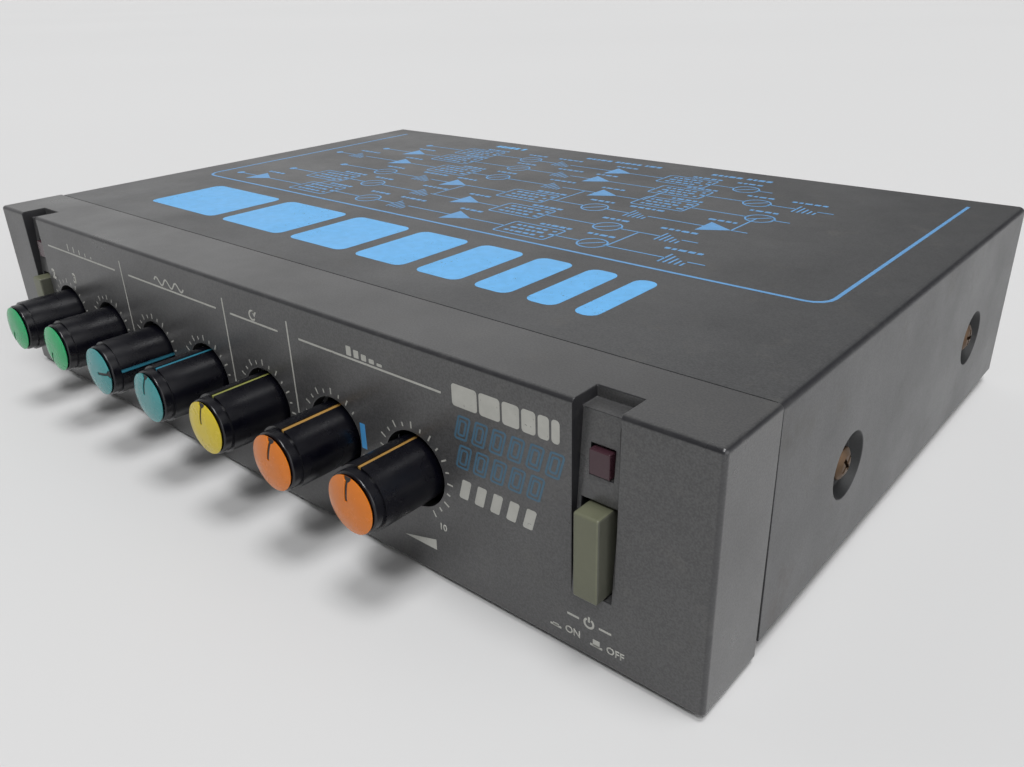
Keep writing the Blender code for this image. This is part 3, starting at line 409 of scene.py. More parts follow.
class Look:
    """A material's nodes: each method adds one and returns what comes out of it."""

    def __init__(self, name, roughness=0.5, metallic=0.0):
        self.material = bpy.data.materials.new(name)
        self.material.use_nodes = True
        self.tree = self.material.node_tree
        self.shader = self.tree.nodes["Principled BSDF"]
        self.shader.inputs["Metallic"].default_value = metallic
        self.shader.inputs["Roughness"].default_value = roughness
        self.place = self.tree.nodes.new("ShaderNodeTexCoord").outputs["Object"]

    def node(self, kind, out=0, properties=(), **inputs):
        made = self.tree.nodes.new(kind)
        for name, value in dict(properties).items():
            setattr(made, name, value)
        for name, value in inputs.items():
            key = int(name[1:]) if name[0] == "i" and name[1:].isdigit() else name.replace("_", " ")
            if isinstance(value, bpy.types.NodeSocket):
                self.tree.links.new(value, made.inputs[key])
            else:
                made.inputs[key].default_value = value
        return made.outputs[out]

    def stretched(self, scale):
        return self.node("ShaderNodeMapping", Vector=self.place, Scale=scale)

    def noise(self, scale, detail=2.0, roughness=0.5, stretch=None):
        place = self.stretched(stretch) if stretch else self.place
        return self.node(
            "ShaderNodeTexNoise", Vector=place, Scale=scale, Detail=detail, Roughness=roughness
        )

    def cells(self, scale, stretch=None):
        place = self.stretched(stretch) if stretch else self.place
        return self.node("ShaderNodeTexVoronoi", Vector=place, Scale=scale)

    def spread(self, value, low=0.3, high=0.7, first=0.0, last=1.0):
        """Maps a value from one span to another, and keeps it inside."""
        return self.node("ShaderNodeMapRange", i0=value, i1=low, i2=high, i3=first, i4=last)

    def math(self, operation, first, second):
        return self.node("ShaderNodeMath", properties={"operation": operation}, i0=first, i1=second)

    def measure(self, operation, first, second):
        """The distance between two vectors, or their dot product."""
        properties = {"operation": operation}
        return self.node("ShaderNodeVectorMath", "Value", properties, i0=first, i1=second)

    def mix(self, share, first, second):
        made = self.tree.nodes.new("ShaderNodeMix")
        made.data_type = "RGBA"
        for key, value in ((0, share), (6, first), (7, second)):
            if isinstance(value, bpy.types.NodeSocket):
                self.tree.links.new(value, made.inputs[key])
            elif key:
                made.inputs[key].default_value = (*value, 1.0)
            else:
                made.inputs[key].default_value = value
        return made.outputs[2]

    def stain(self, base, centre, reach, colour):
        """A broken patch of dirt round a place."""
        away = self.measure("DISTANCE", self.place, centre)
        broken = self.spread(self.noise(STAIN_SCALE, 5.0, 0.65), 0.42, 0.62)
        patch = self.math("MULTIPLY", self.spread(away, reach, STAIN_CORE * reach), broken)
        return self.mix(self.math("MULTIPLY", patch, STAIN_SHARE), base, colour)

    def direction(self):
        """The three parts of the surface's direction."""
        normal = self.node("ShaderNodeTexCoord", out="Normal")
        parts = self.tree.nodes.new("ShaderNodeSeparateXYZ")
        self.tree.links.new(normal, parts.inputs[0])
        return parts.outputs[:]

    def slanted(self, first, last):
        """0 on faces square to the axes and 1 on the roundings between them."""
        sizes = [self.math("ABSOLUTE", part, 0.0) for part in self.direction()]
        greatest = self.math("MAXIMUM", self.math("MAXIMUM", sizes[0], sizes[1]), sizes[2])
        return self.spread(greatest, first, last)

    def steep(self):
        """Half on upright roundings, 1 on the sides of level ones and 0 near their tops."""
        up = self.direction()[2]
        lower = self.spread(up, 0.0, 0.30, 0.5, 1.0)
        return self.math("MULTIPLY", lower, self.spread(up, 0.96, 0.80))

    def edges(self, radius):
        """Near 1 along convex and concave edges, and 0 on flat faces."""
        softened = self.node("ShaderNodeBevel", properties={"samples": 4}, Radius=radius)
        plain = self.node("ShaderNodeNewGeometry", out="Normal")
        return self.spread(self.measure("DOT_PRODUCT", softened, plain), 0.995, 0.90)

    def colour(self, value):
        self.set("Base Color", value)

    def set(self, name, value):
        if isinstance(value, bpy.types.NodeSocket):
            self.tree.links.new(value, self.shader.inputs[name])
        elif isinstance(value, tuple):
            self.shader.inputs[name].default_value = (*value, 1.0)
        else:
            self.shader.inputs[name].default_value = value

    def bump(self, height, distance, strength=1.0):
        normal = self.node("ShaderNodeBump", Height=height, Distance=distance, Strength=strength)
        self.tree.links.new(normal, self.shader.inputs["Normal"])


def shade(colour, factor):
    return tuple(min(1.0, value * factor) for value in colour)


# Sizes of the patterns in the finishes, in ripples per metre
FLAKES = 3200.0
PAINT_GRAIN = 5200.0
PAINT_CLOUDS = 38.0
SCRATCHES = 70.0
PAINT_DIRT = 160.0
RIM_WEAR_AND_SHADE = 420.0
STAIN_SCALE = 330.0
PLASTIC_GRAIN = 1500.0
PLASTIC_CLOUDS = 110.0
PLASTIC_DIRT = 300.0
PLASTIC_WEAR = 700.0
METAL_LINES = 1400.0
METAL_STAINS = 260.0
INK_SPECKS = 1900.0
INK_RUBBED = 55.0
INK_SHADES = 500.0

# Strengths of the finishes: colours of dust, depths of bump in metres, shares of a mix
PAINT_DUST = (0.30, 0.28, 0.24)
PLASTIC_DUST = (0.32, 0.30, 0.26)
PAINT_BUMP = 0.000012
PLASTIC_BUMP = 0.000008
FINE_BUMP = 0.000006
WEAR_RADIUS = 0.0003
STAIN_CORE = 0.3
STAIN_SHARE = 0.75


def metallic_paint(name, colour, roughness, metallic, dust=0.5, rim=None, gloss=0.5, stains=()):
    """Sprayed paint with fine flakes, faint clouds, thin scratches, dust, and darker edges: partly rubbed
    wear, partly painted dark reflection and shade.
    """
    look = Look(name, roughness, metallic)
    flakes = look.noise(FLAKES, 1.0)
    clouds = look.noise(PAINT_CLOUDS, 4.0, 0.6)
    base = look.mix(look.spread(flakes, 0.32, 0.68), shade(colour, 0.80), shade(colour, 1.22))
    base = look.mix(look.spread(clouds), base, look.mix(0.16, base, (0.0, 0.0, 0.0)))
    grain = look.cells(PAINT_GRAIN)
    base = look.mix(look.spread(grain, 0.10, 0.02, 0.0, 0.28), base, shade(colour, 2.4))
    scratches = look.noise(SCRATCHES, 8.0, 0.75, stretch=(0.35, 3.0, 5.0))
    scratch = look.spread(scratches, 0.66, 0.72, 0.0, 0.20)
    base = look.mix(scratch, base, shade(colour, 2.0))
    dirt = look.spread(look.noise(PAINT_DIRT, 6.0, 0.7), 0.56, 0.74, 0.0, 0.14 * dust)
    base = look.mix(dirt, base, PAINT_DUST)
    for stain in stains:
        base = look.stain(base, *stain)
    # The edge roundings get a darker colour: partly rubbed wear, partly a painted dark reflection, and
    # darkest low on level edges as painted shade
    if rim:
        uneven = look.spread(look.noise(RIM_WEAR_AND_SHADE, 3.0), 0.2, 0.5, 0.6, 0.95)
        worn = look.math("MULTIPLY", look.slanted(0.995, 0.93), uneven)
        worn = look.math("MULTIPLY", worn, look.steep())
        base = look.mix(worn, base, rim)
    look.colour(base)
    look.set("Specular IOR Level", gloss)
    uneven = look.spread(clouds, 0.3, 0.7, roughness - 0.05, roughness + 0.06)
    look.set("Roughness", look.math("ADD", uneven, look.math("MULTIPLY", dirt, 0.8)))
    look.bump(look.math("ADD", flakes, look.math("MULTIPLY", grain, 0.4)), PAINT_BUMP)
    return look.material


def plastic(
    name, colour, roughness, worn_colour=None, grain=PLASTIC_GRAIN, depth=PLASTIC_BUMP, dust=0.05, gloss=0.5
):
    """Moulded plastic with fine grain, uneven gloss, handling marks and a little dust."""
    look = Look(name, roughness)
    fine = look.noise(grain, 3.0, 0.6)
    clouds = look.noise(PLASTIC_CLOUDS, 4.0, 0.6)
    base = look.mix(look.spread(clouds), shade(colour, 0.90), shade(colour, 1.08))
    base = look.mix(look.spread(fine, 0.35, 0.65, 0.0, 0.10), base, shade(colour, 1.35))
    dirt = look.spread(look.noise(PLASTIC_DIRT, 6.0, 0.7), 0.55, 0.75, 0.0, dust)
    base = look.mix(dirt, base, PLASTIC_DUST)
    if worn_colour:
        uneven = look.spread(look.noise(PLASTIC_WEAR), 0.35, 0.65)
        worn = look.math("MULTIPLY", look.edges(WEAR_RADIUS), uneven)
        base = look.mix(look.math("MULTIPLY", worn, 0.5), base, worn_colour)
    look.colour(base)
    look.set("Specular IOR Level", gloss)
    uneven = look.spread(clouds, 0.3, 0.7, roughness - 0.06, roughness + 0.07)
    look.set("Roughness", look.math("ADD", uneven, dirt))
    look.bump(fine, depth)
    return look.material


def metal(name, colour, roughness, stretch=None, tarnish=(0.10, 0.07, 0.04)):
    """Plated or turned metal with fine lines, stains and uneven polish."""
    look = Look(name, roughness, 1.0)
    lines = look.noise(METAL_LINES, 5.0, 0.65, stretch=stretch)
    stains = look.noise(METAL_STAINS, 5.0, 0.65)
    base = look.mix(look.spread(lines), shade(colour, 0.88), shade(colour, 1.08))
    base = look.mix(look.spread(stains, 0.52, 0.72, 0.0, 0.45), base, tarnish)
    look.colour(base)
    look.set("Roughness", look.spread(stains, 0.3, 0.75, roughness - 0.06, roughness + 0.16))
    look.bump(lines, FINE_BUMP)
    return look.material


def print_paint(name, colour, under, wear=0.5):
    """Screen print, worn through in fine specks to the paint under it."""
    look = Look(name, 0.5)
    specks = look.noise(INK_SPECKS, 4.0, 0.7)
    rubbed = look.noise(INK_RUBBED, 4.0, 0.6)
    uneven = look.spread(look.noise(INK_SHADES, 3.0))
    shades = look.mix(uneven, shade(colour, 0.93), shade(colour, 1.05))
    limit = look.spread(rubbed, 0.35, 0.70, 0.72, 0.72 - 0.14 * wear)
    gone = look.math("GREATER_THAN", specks, limit)
    look.colour(look.mix(gone, shades, under))
    look.set("Roughness", look.spread(rubbed, 0.3, 0.7, 0.42, 0.56))
    look.bump(specks, FINE_BUMP)
    return look.material


BEZEL_GREY = (0.078, 0.078, 0.079)
COVER_GREY = (0.070, 0.071, 0.073)
# Dark colours for the edge roundings: rubbed wear together with painted dark reflection and shade
BEZEL_RIM_SHADE_AND_WEAR = (0.022, 0.022, 0.025)
COVER_RIM_SHADE_AND_WEAR = (0.016, 0.016, 0.019)
INK_WHITE = (0.45, 0.45, 0.415)
INK_BLUE = (0.13, 0.42, 0.78)

# Places, reaches and colours of the dirt on the right side
SIDE_STAINS = (
    ((0.109, -0.0475, 0.0393), 0.0055, (0.040, 0.038, 0.034)),
    ((0.109, -0.0425, 0.0385), 0.0040, (0.048, 0.046, 0.042)),
    ((0.109, -0.0440, 0.0110), 0.0048, (0.036, 0.027, 0.024)),
    ((0.109, -0.0456, 0.0060), 0.0040, (0.042, 0.032, 0.027)),
)

FINISHES = {
    "bezel_paint": (metallic_paint, BEZEL_GREY, 0.31, 0.12, 0.5, BEZEL_RIM_SHADE_AND_WEAR, 0.65),
    "cover_paint": (metallic_paint, COVER_GREY, 0.38, 0.10, 0.8, COVER_RIM_SHADE_AND_WEAR, 0.5, SIDE_STAINS),
    "tray_paint": (metallic_paint, COVER_GREY, 0.46, 0.10, 0.6),
    "screw_metal": (metal, (0.13, 0.085, 0.055), 0.46),
    "foot_rubber": (plastic, (0.010, 0.010, 0.011), 0.80, None, 2400.0, 0.00002, 0.20),
    "knob_black": (plastic, (0.002, 0.002, 0.0045), 0.27, None, 2600.0, 0.000003, 0.012, 0.50),
    "insert_green": (plastic, (0.016, 0.34, 0.12), 0.26),
    "insert_teal": (plastic, (0.035, 0.24, 0.25), 0.26, None, PLASTIC_GRAIN, PLASTIC_BUMP, 0.05, 0.6),
    "insert_yellow": (plastic, (0.58, 0.45, 0.02), 0.26, None, PLASTIC_GRAIN, PLASTIC_BUMP, 0.05, 0.42),
    "insert_orange": (plastic, (0.62, 0.165, 0.006), 0.26, None, PLASTIC_GRAIN, PLASTIC_BUMP, 0.05, 0.42),
    "shaft_metal": (metal, (0.60, 0.60, 0.62), 0.25, (1.0, 12.0, 1.0)),
    "control_metal": (metal, (0.55, 0.56, 0.58), 0.38),
    "button_grey": (plastic, (0.130, 0.135, 0.088), 0.42, (0.21, 0.22, 0.17), 1800.0),
    "black_plastic": (plastic, (0.012, 0.012, 0.013), 0.45, None, 1800.0),
    "lamp_red": (plastic, (0.050, 0.020, 0.028), 0.20, None, 900.0, 0.000002, 0.03),
    "board_green": (plastic, (0.02, 0.12, 0.05), 0.40, None, 700.0),
    "cable_grey": (plastic, (0.30, 0.30, 0.32), 0.50),
    "nut_metal": (metal, (0.60, 0.60, 0.62), 0.22),
}
MATERIALS = {name: kind(name, *values) for name, (kind, *values) in FINISHES.items()}
# Near-black paint inside the pressed seats, as painted shade in the hollows
SEAT_SHADE_PAINT = metallic_paint("seat_shade_paint", (0.013, 0.014, 0.015), 0.45, 0.10, 0.4)
# Duller copies of the insert colours for the pointer stripes: painted light and reflection from the sky
# above them
POINTER_SKY_LIGHT = {
    "insert_green": plastic("pointer_green", (0.01, 0.22, 0.09), 0.5),
    "insert_teal": plastic("pointer_teal", (0.02, 0.16, 0.23), 0.5),
    "insert_yellow": plastic("pointer_yellow", (0.25, 0.26, 0.07), 0.5),
    "insert_orange": plastic("pointer_orange", (0.34, 0.19, 0.045), 0.5),
}
# A darker copy of the button's grey, as painted shade on its sides inside the channel
BUTTON_SIDE_SHADE = plastic("button_side_shade", (0.078, 0.080, 0.062), 0.5, None, 1800.0)
# Bare black plastic of the channel walls, also used as painted shade on the lip behind the side seams
BLACK_WALLS_AND_SEAM_SHADE = plastic("black_walls_and_seam_shade", (0.010, 0.010, 0.012), 0.50, None, 1800.0)
WHITE_ON_FRONT = print_paint("ink_white", INK_WHITE, BEZEL_GREY, 0.6)
BLUE_ON_FRONT = print_paint("ink_blue_front", (0.052, 0.13, 0.20), BEZEL_GREY, 0.6)
BLUE_MARK = print_paint("ink_blue_mark", (0.07, 0.33, 0.68), BEZEL_GREY, 0.3)
FINE_BLUE_ON_TOP = print_paint("ink_fine_blue_top", (0.12, 0.31, 0.58), COVER_GREY, 0.5)
BLUE_ON_TOP = print_paint("ink_blue_top", INK_BLUE, COVER_GREY, 0.7)
WHITE_ON_REAR = print_paint("ink_white_rear", INK_WHITE, COVER_GREY, 0.5)


def dress_nodes():
    """Gives every CAD node the material of its slot."""
    for subpart in frame["record"]["subparts"]:
        node = frame["nodes"][subpart["node"]]
        node.data.materials.clear()
        node.data.materials.append(MATERIALS[subpart["material_slot"]])
        for slot in node.material_slots:
            slot.link = "DATA"


# The moulded front


def make_front_shell():
    """The moulded front with its channels, openings, lip and the strip that fills the top seam."""
    rear = FRONT_Y + BEZEL_DEPTH
    inner_top = BEZEL_HIGH.z - BEZEL_WALL
    shell = slab(
        "front_shell",
        (BEZEL_LOW.x, BEZEL_HIGH.x),
        (FRONT_Y, rear + BEZEL_ROUND + OVERRUN),
        (BEZEL_LOW.z, BEZEL_HIGH.z),
    )
    bevel = shell.modifiers.new("corners", "BEVEL")
    bevel.width = BEZEL_ROUND
    bevel.segments = ROUND_STEPS
    cut(shell, slab("rear_trim", (-1, 1), (rear, rear + 1), (-1, 1)))
    join(shell, front_lip(rear))
    join(shell, seam_strip(rear))
    cut(shell, front_hollow(inner_top))
    for place in ("effect", "power"):
        join_channel_pads(shell, place, inner_top)
        cut_channel(shell, place)
    cut(shell, *[knob_hole(number) for number in range(1, KNOB_COUNT + 1)])
    round_edges(shell, MOULD_EDGE, 2)
    dress(shell, "bezel_paint", "case", "front_bezel")
    paint_front_inside(shell, rear)


def front_lip(rear):
    side = COVER_HIGH.x - SHEET - LAMP_PLAY
    heights = (BEZEL_LOW.z + LIP_RISE, COVER_HIGH.z - SHEET - LAMP_PLAY)
    return slab("lip", (-side, side), (rear - BEZEL_WALL, BEZEL_HIGH.y), heights)


def seam_strip(rear):
    side = COVER_HIGH.x - COVER_ROUND - SHEET
    heights = (COVER_HIGH.z - SHEET - LAMP_PLAY - LAP, COVER_HIGH.z - SEAM_SUNK)
    return slab("seam_fill", (-side, side), (rear - LAP, COVER_LOW.y - SEAM_GAP), heights)


def front_hollow(inner_top):
    side = BEZEL_HIGH.x - BEZEL_WALL
    depths = (FRONT_Y + BEZEL_WALL, BEZEL_HIGH.y + OVERRUN)
    return slab("hollow", (-side, side), depths, (BEZEL_LOW.z + BEZEL_FLOOR, inner_top))


def join_channel_pads(shell, place, inner_top):
    """Thickens the wall and the roof where a channel is cut into them."""
    width = about(middle(place + "_button").x, CHANNEL_WIDTH + 2 * PAD_RIM)
    start = FRONT_Y + BEZEL_WALL - LAP
    top = inner_top + LAP
    roof_bottom = BEZEL_HIGH.z - NOTCH_DEPTH - OVERRUN
    join(
        shell,
        slab("wall_pad", width, (start, FRONT_Y + CHANNEL_BACK), (CHANNEL_BOTTOM - PAD_RIM, top)),
        slab("roof_pad", width, (start, FRONT_Y + NOTCH_LENGTH + OVERRUN), (roof_bottom, top)),
    )


def cut_channel(shell, place):
    """Cuts a channel that gets shallower downward, its notch in the top edge, and two openings."""
    notch_bottom = BEZEL_HIGH.z - NOTCH_DEPTH
    ahead = FRONT_Y - OVERRUN
    behind = FRONT_Y + CHANNEL_BACK + OVERRUN
    width = about(middle(place + "_button").x, CHANNEL_WIDTH)
    heights = (CHANNEL_BOTTOM, notch_bottom + LAP)
    groove = slab("groove", width, (ahead, FRONT_Y + CHANNEL_DEPTH), heights)
    for vertex in groove.data.vertices:
        if vertex.co.y > FRONT_Y and vertex.co.z < notch_bottom:
            vertex.co.y = FRONT_Y + CHANNEL_FOOT_DEPTH
    cut(
        shell,
        groove,
        slab("notch", width, (ahead, FRONT_Y + NOTCH_LENGTH), (notch_bottom, BEZEL_HIGH.z + OVERRUN)),
        opening("button_opening", place + "_button", ahead, behind, BUTTON_SIDE_PLAY, BUTTON_END_PLAY),
        opening("lamp_window", place + "_lamp", ahead, behind, LAMP_PLAY, LAMP_PLAY),
    )


def knob_hole(number):
    centre = middle(f"knob_{number}")
    hole = plug("hole", KNOB_HOLE_RADIUS, OVERRUN, -2 * BEZEL_WALL)
    return put(hole, facing("front", (centre.x, FRONT_Y, centre.z)))


def paint_front_inside(shell, rear):
    """Gives the channels' side walls their bare black plastic, and the lip behind the side seams the same
    black as painted shade in the seam gap.
    """
    xs = [middle(place + "_button").x for place in ("effect", "power")]
    seam_side = COVER_HIGH.x - COVER_ROUND - SHEET

    def inside(centre, normal):
        # The lip behind the side seams: painted shade in the gap
        if centre.y > rear + MOULD_EDGE / 2 and abs(centre.x) > seam_side:
            return True
        near = min(abs(centre.x - x) for x in xs) < CHANNEL_WIDTH / 2 + MOULD_EDGE
        return near and abs(normal.x) > 0.5 and centre.y < FRONT_Y + NOTCH_LENGTH + LAP

    repaint(shell, BLACK_WALLS_AND_SEAM_SHADE, inside)


def front_size(node):
    """What shows in the front: a button without its flange, a lamp without its base."""
    return BUTTON_FRONT if node.endswith("button") else LAMP_FRONT


def opening(name, node, ahead, behind, side_play, end_play):
    centre = middle(node)
    width, height = front_size(node)
    across = about(centre.x, width + 2 * side_play)
    upright = about(centre.z, height + 2 * end_play)
    return slab(name, across, (ahead, behind), upright)


# The folded cover


def cover_section(inset, radius):
    """Half of the cover's section: its outer or its inner outline, from the left foot to the right."""
    side, high, low = COVER_HIGH.x - inset, COVER_HIGH.z - inset, COVER_LOW.z
    corners = ((-side, low), (-side, high, radius), (side, high, radius), (side, low))
    return rounded(corners, False, ROUND_STEPS)


def folded_sheet():
    """The bare cover, whose sides end a little further back toward their feet."""
    shape = bmesh.new()
    high, low = COVER_HIGH.z, COVER_LOW.z
    section = cover_section(0, COVER_ROUND) + cover_section(SHEET, COVER_ROUND - SHEET)[::-1]
    rows = []
    for y, gap in ((COVER_LOW.y, COVER_GAP), (COVER_HIGH.y, 0)):
        places = [(x, y + gap * (high - z) / (high - low), z) for x, z in section]
        rows.append([shape.verts.new(place) for place in places])
    count = len(section)
    for index in range(count):
        after = (index + 1) % count
        shape.faces.new((rows[0][index], rows[0][after], rows[1][after], rows[1][index]))
    for row in rows:
        for index in range(count // 2 - 1):
            shape.faces.new((row[index], row[index + 1], row[-2 - index], row[-1 - index]))
    return from_bmesh("cover_shell", shape)


def pressed_seat(number):
    """The pressed-in cone round a side screw, and the hollow that is cut from it."""
    place = at_side(number, COVER_HIGH.x)
    slope = (SEAT_RADIUS - SEAT_FLOOR_RADIUS) / SEAT_DEPTH
    seat_profile = (
        (SEAT_RADIUS + SHEET, -SHEET / 2),
        (SEAT_FLOOR_RADIUS + SHEET, -SEAT_DEPTH - SHEET),
    )
    cavity_profile = (
        (SEAT_RADIUS + slope * OVERRUN, OVERRUN),
        (SEAT_FLOOR_RADIUS, -SEAT_DEPTH, PRESSED_EDGE),
        (SEAT_HOLE_RADIUS, -SEAT_DEPTH),
        (SEAT_HOLE_RADIUS, -SEAT_DEPTH - 2 * SHEET),
    )
    seat = put(lathe("seat", seat_profile, SIDES), place)
    return seat, put(lathe("cavity", cavity_profile, SIDES), place)


def make_cover_shell():
    shell = folded_sheet()
    seats, cavities = zip(*[pressed_seat(number) for number in range(1, SCREW_COUNT + 1)])
    join(shell, *seats)
    cut(shell, *cavities)
    round_edges(shell, SHEET_EDGE, 2, 25)
    dress(shell, "cover_paint", "case", "top_cover")
    screws = [middle(f"side_screw_{number}") for number in range(1, SCREW_COUNT + 1)]

    def in_a_seat(centre, normal):
        depth = COVER_HIGH.x - abs(centre.x)
        if not SEAT_START < depth < SEAT_DEPTH + SHEET / 2 or centre.z > COVER_HIGH.z - COVER_ROUND:
            return False
        away = [math.hypot(centre.y - screw.y, centre.z - screw.z) for screw in screws]
        return min(away) < SEAT_RADIUS

    # The faces inside the seats get the painted shade
    repaint(shell, SEAT_SHADE_PAINT, in_a_seat)


# Screws and feet


def make_side_screws():
    profile = (
        (0, SCREW_RISE),
        (*SCREW_DOME, 0.0008),
        (HEAD_RADIUS, 0.0009, 0.0005),
        (HEAD_RADIUS, 0, 0.0001),
        (SHANK_RADIUS, 0),
        (SHANK_RADIUS, -SHANK_LENGTH),
    )
    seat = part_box("side_screw_4")[1].x - SCREW_RISE
    for number in range(1, SCREW_COUNT + 1):
        screw = lathe(f"cross_head_screw_{number}", profile, SCREW_SIDES)
        cut(
            screw,
            slab("slot_1", about(0, CROSS_LENGTH), about(0, CROSS_WIDTH), CROSS_HEIGHTS),
            slab("slot_2", about(0, CROSS_WIDTH), about(0, CROSS_LENGTH), CROSS_HEIGHTS),
        )
        put(screw, at_side(number, seat, math.radians(SCREW_TURNS[number - 1])))
        smooth(screw, 30)
        dress(screw, "screw_metal", "case", f"side_screw_{number}")


def make_feet():
    for number in range(1, FOOT_COUNT + 1):
        low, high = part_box(f"foot_{number}")
        radius = (high.x - low.x) / 2
        profile = (
            (radius, high.z),
            (radius, 0, FOOT_ROUND),
            (radius - FOOT_RIM, 0, FOOT_EDGE),
            (radius - FOOT_RIM - FOOT_SLOPE, FOOT_HOLLOW, FOOT_EDGE),
        )
        foot = lathe(f"round_foot_{number}", profile, SIDES)
        put(foot, Matrix.Translation(((low.x + high.x) / 2, (low.y + high.y) / 2, 0)))
        smooth(foot)
        dress(foot, "foot_rubber", "case", f"foot_{number}")


# Knobs


def cap_dome():
    """The cap's face from its flat middle to its rim, falling ever more steeply."""
    points = []
    for step in range(CAP_STEPS + 1):
        share = step / CAP_STEPS
        points.append((CAP_FLAT + share * (CAP_RADIUS - CAP_FLAT), KNOB_REACH - share ** 2 * CAP_FALL))
    return points


def make_mark(number, floor):
    """The dark filling of the line and of the bite at its end, a little under the cap's face."""
    inlay = slab(
        f"knob_mark_{number}",
        about(0, MARK_WIDTH - 2 * MARK_PLAY),
        (CAP_RADIUS - MARK_LENGTH + MARK_PLAY, CAP_RADIUS),
        (floor, KNOB_REACH),
    )
    pool = plug("pool", MARK_MOUTH - 2 * MARK_PLAY, KNOB_REACH, floor, SMALL_SIDES)
    put(pool, Matrix.Translation((0, CAP_RADIUS, 0)))
    dome = [(radius - MARK_PLAY, height - MARK_SUNK) for radius, height in cap_dome()]
    lowest = floor - OVERRUN
    profile = (*dome, (dome[-1][0], lowest))
    join(inlay, pool)
    return combine(inlay, [lathe("within", profile, FINE_SIDES)], "INTERSECT")


def make_shell(number, collar_back):
    """The black body with its narrower collar, its bore for the shaft and its slot for the pointer."""
    front = KNOB_REACH - CAP_HEIGHT - CAP_GAP
    profile = (
        (COLLAR_RADIUS, front, COLLAR_EDGE),
        (COLLAR_RADIUS, collar_back),
        (KNOB_RADIUS, collar_back),
        (KNOB_RADIUS, -KNOB_ENTRY, SKIRT_EDGE),
    )
    shell = lathe(f"knob_shell_{number}", profile, FINE_SIDES)
    slot = slab(
        "slot",
        about(0, POINTER_WIDTH + POINTER_PLAY),
        (POINTER_FLOOR, KNOB_RADIUS + OVERRUN),
        (-KNOB_ENTRY - OVERRUN, collar_back),
    )
    return cut(shell, plug("bore", SHAFT_BORE_RADIUS, SHAFT_BORE_END, -CUTTER_REACH, SMALL_SIDES), slot)


def make_cap(number, floor):
    """The coloured cap with its line and the bite at the line's end."""
    profile = (*cap_dome(), (CAP_RADIUS, KNOB_REACH - CAP_HEIGHT, CAP_EDGE))
    cap = lathe(f"knob_cap_{number}", profile, FINE_SIDES)
    heights = (floor, KNOB_REACH + OVERRUN)
    reaches = (CAP_RADIUS - MARK_LENGTH, CAP_RADIUS + OVERRUN)
    bite = plug("bite", MARK_MOUTH, heights[1], floor, SMALL_SIDES)
    put(bite, Matrix.Translation((0, CAP_RADIUS, 0)))
    return cut(cap, slab("line", about(0, MARK_WIDTH), reaches, heights), bite)


def make_knob(number):
    """The black shell, the coloured insert and the dark line in its cap."""
    centre = middle(f"control_shaft_{number}")
    angle = -math.radians(POINTER_ANGLES[number - 1])
    place = facing("front", (centre.x, FRONT_Y, centre.z), angle)
    body = f"knob_body_{number}"
    insert = f"knob_insert_{number}"
    slot = next(part["material_slot"] for part in frame["record"]["subparts"] if part["node"] == insert)
    collar_back = KNOB_REACH - CAP_HEIGHT - CAP_GAP - COLLAR_LENGTH
    mark_floor = KNOB_REACH - MARK_DEPTH
    shell = put(make_shell(number, collar_back), place)
    smooth(shell, 30)
    dress(shell, "knob_black", body, f"knob_{number}")
    cap = put(make_cap(number, mark_floor), place)
    pointer = slab(
        f"knob_pointer_{number}",
        about(0, POINTER_WIDTH),
        (POINTER_FLOOR + POINTER_GAP, KNOB_RADIUS - POINTER_SUNK),
        (-KNOB_ENTRY, collar_back - POINTER_GAP),
    )
    inlay = make_mark(number, mark_floor)
    smooth(cap, 30)
    dress(cap, slot, body, insert)
    put(pointer, place)
    round_edges(pointer, POINTER_GAP, 2)
    # The stripe takes its painted sky light
    dress(pointer, slot, body, material=POINTER_SKY_LIGHT[slot])
    put(inlay, place)
    smooth(inlay, 30)
    dress(inlay, "black_plastic", body)


# Buttons and lamps


def make_button(place):
    name = place + "_button"
    low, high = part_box(name)
    centre = middle(name)
    width, height = BUTTON_FRONT
    back = FRONT_Y + CHANNEL_BACK
    depths = (low.y, FRONT_Y + BUTTON_CAP_DEPTH)
    cap = slab(name + "_cap", about(centre.x, width), depths, about(centre.z, height))
    round_edges(cap, BUTTON_ROUND, 4)
    depths = [back + depth for depth in FLANGE_DEPTHS]
    flange = slab("flange", (low.x, high.x), depths, (low.z, high.z))
    depths = (back + STEM_START, high.y)
    stem = slab("stem", about(centre.x, STEM_WIDTH), depths, about(centre.z, STEM_WIDTH))
    join(cap, flange, stem)
    smooth(cap)
    dress(cap, "button_grey", name + "_body", name)
    # The button's sides get the painted shade
    repaint(cap, BUTTON_SIDE_SHADE, lambda centre, normal: abs(normal.x) > 0.8)


def make_lamp(place):
    name = place + "_lamp"
    low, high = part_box(name)
    centre = middle(name)
    width, height = LAMP_FRONT
    lens = slab(name + "_lens", about(centre.x, width), (low.y, high.y), about(centre.z, height))
    round_edges(lens, LENS_EDGE, 3)
    dress(lens, "lamp_red", "case", name)


# Rear panel


def behind_the_panel(name, node):
    """The block of a rear socket, up to the inside of the rear panel."""
    low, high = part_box(node)
    return slab(name, (low.x, high.x), (low.y, REAR_Y - SHEET - LAMP_PLAY), (low.z, high.z))


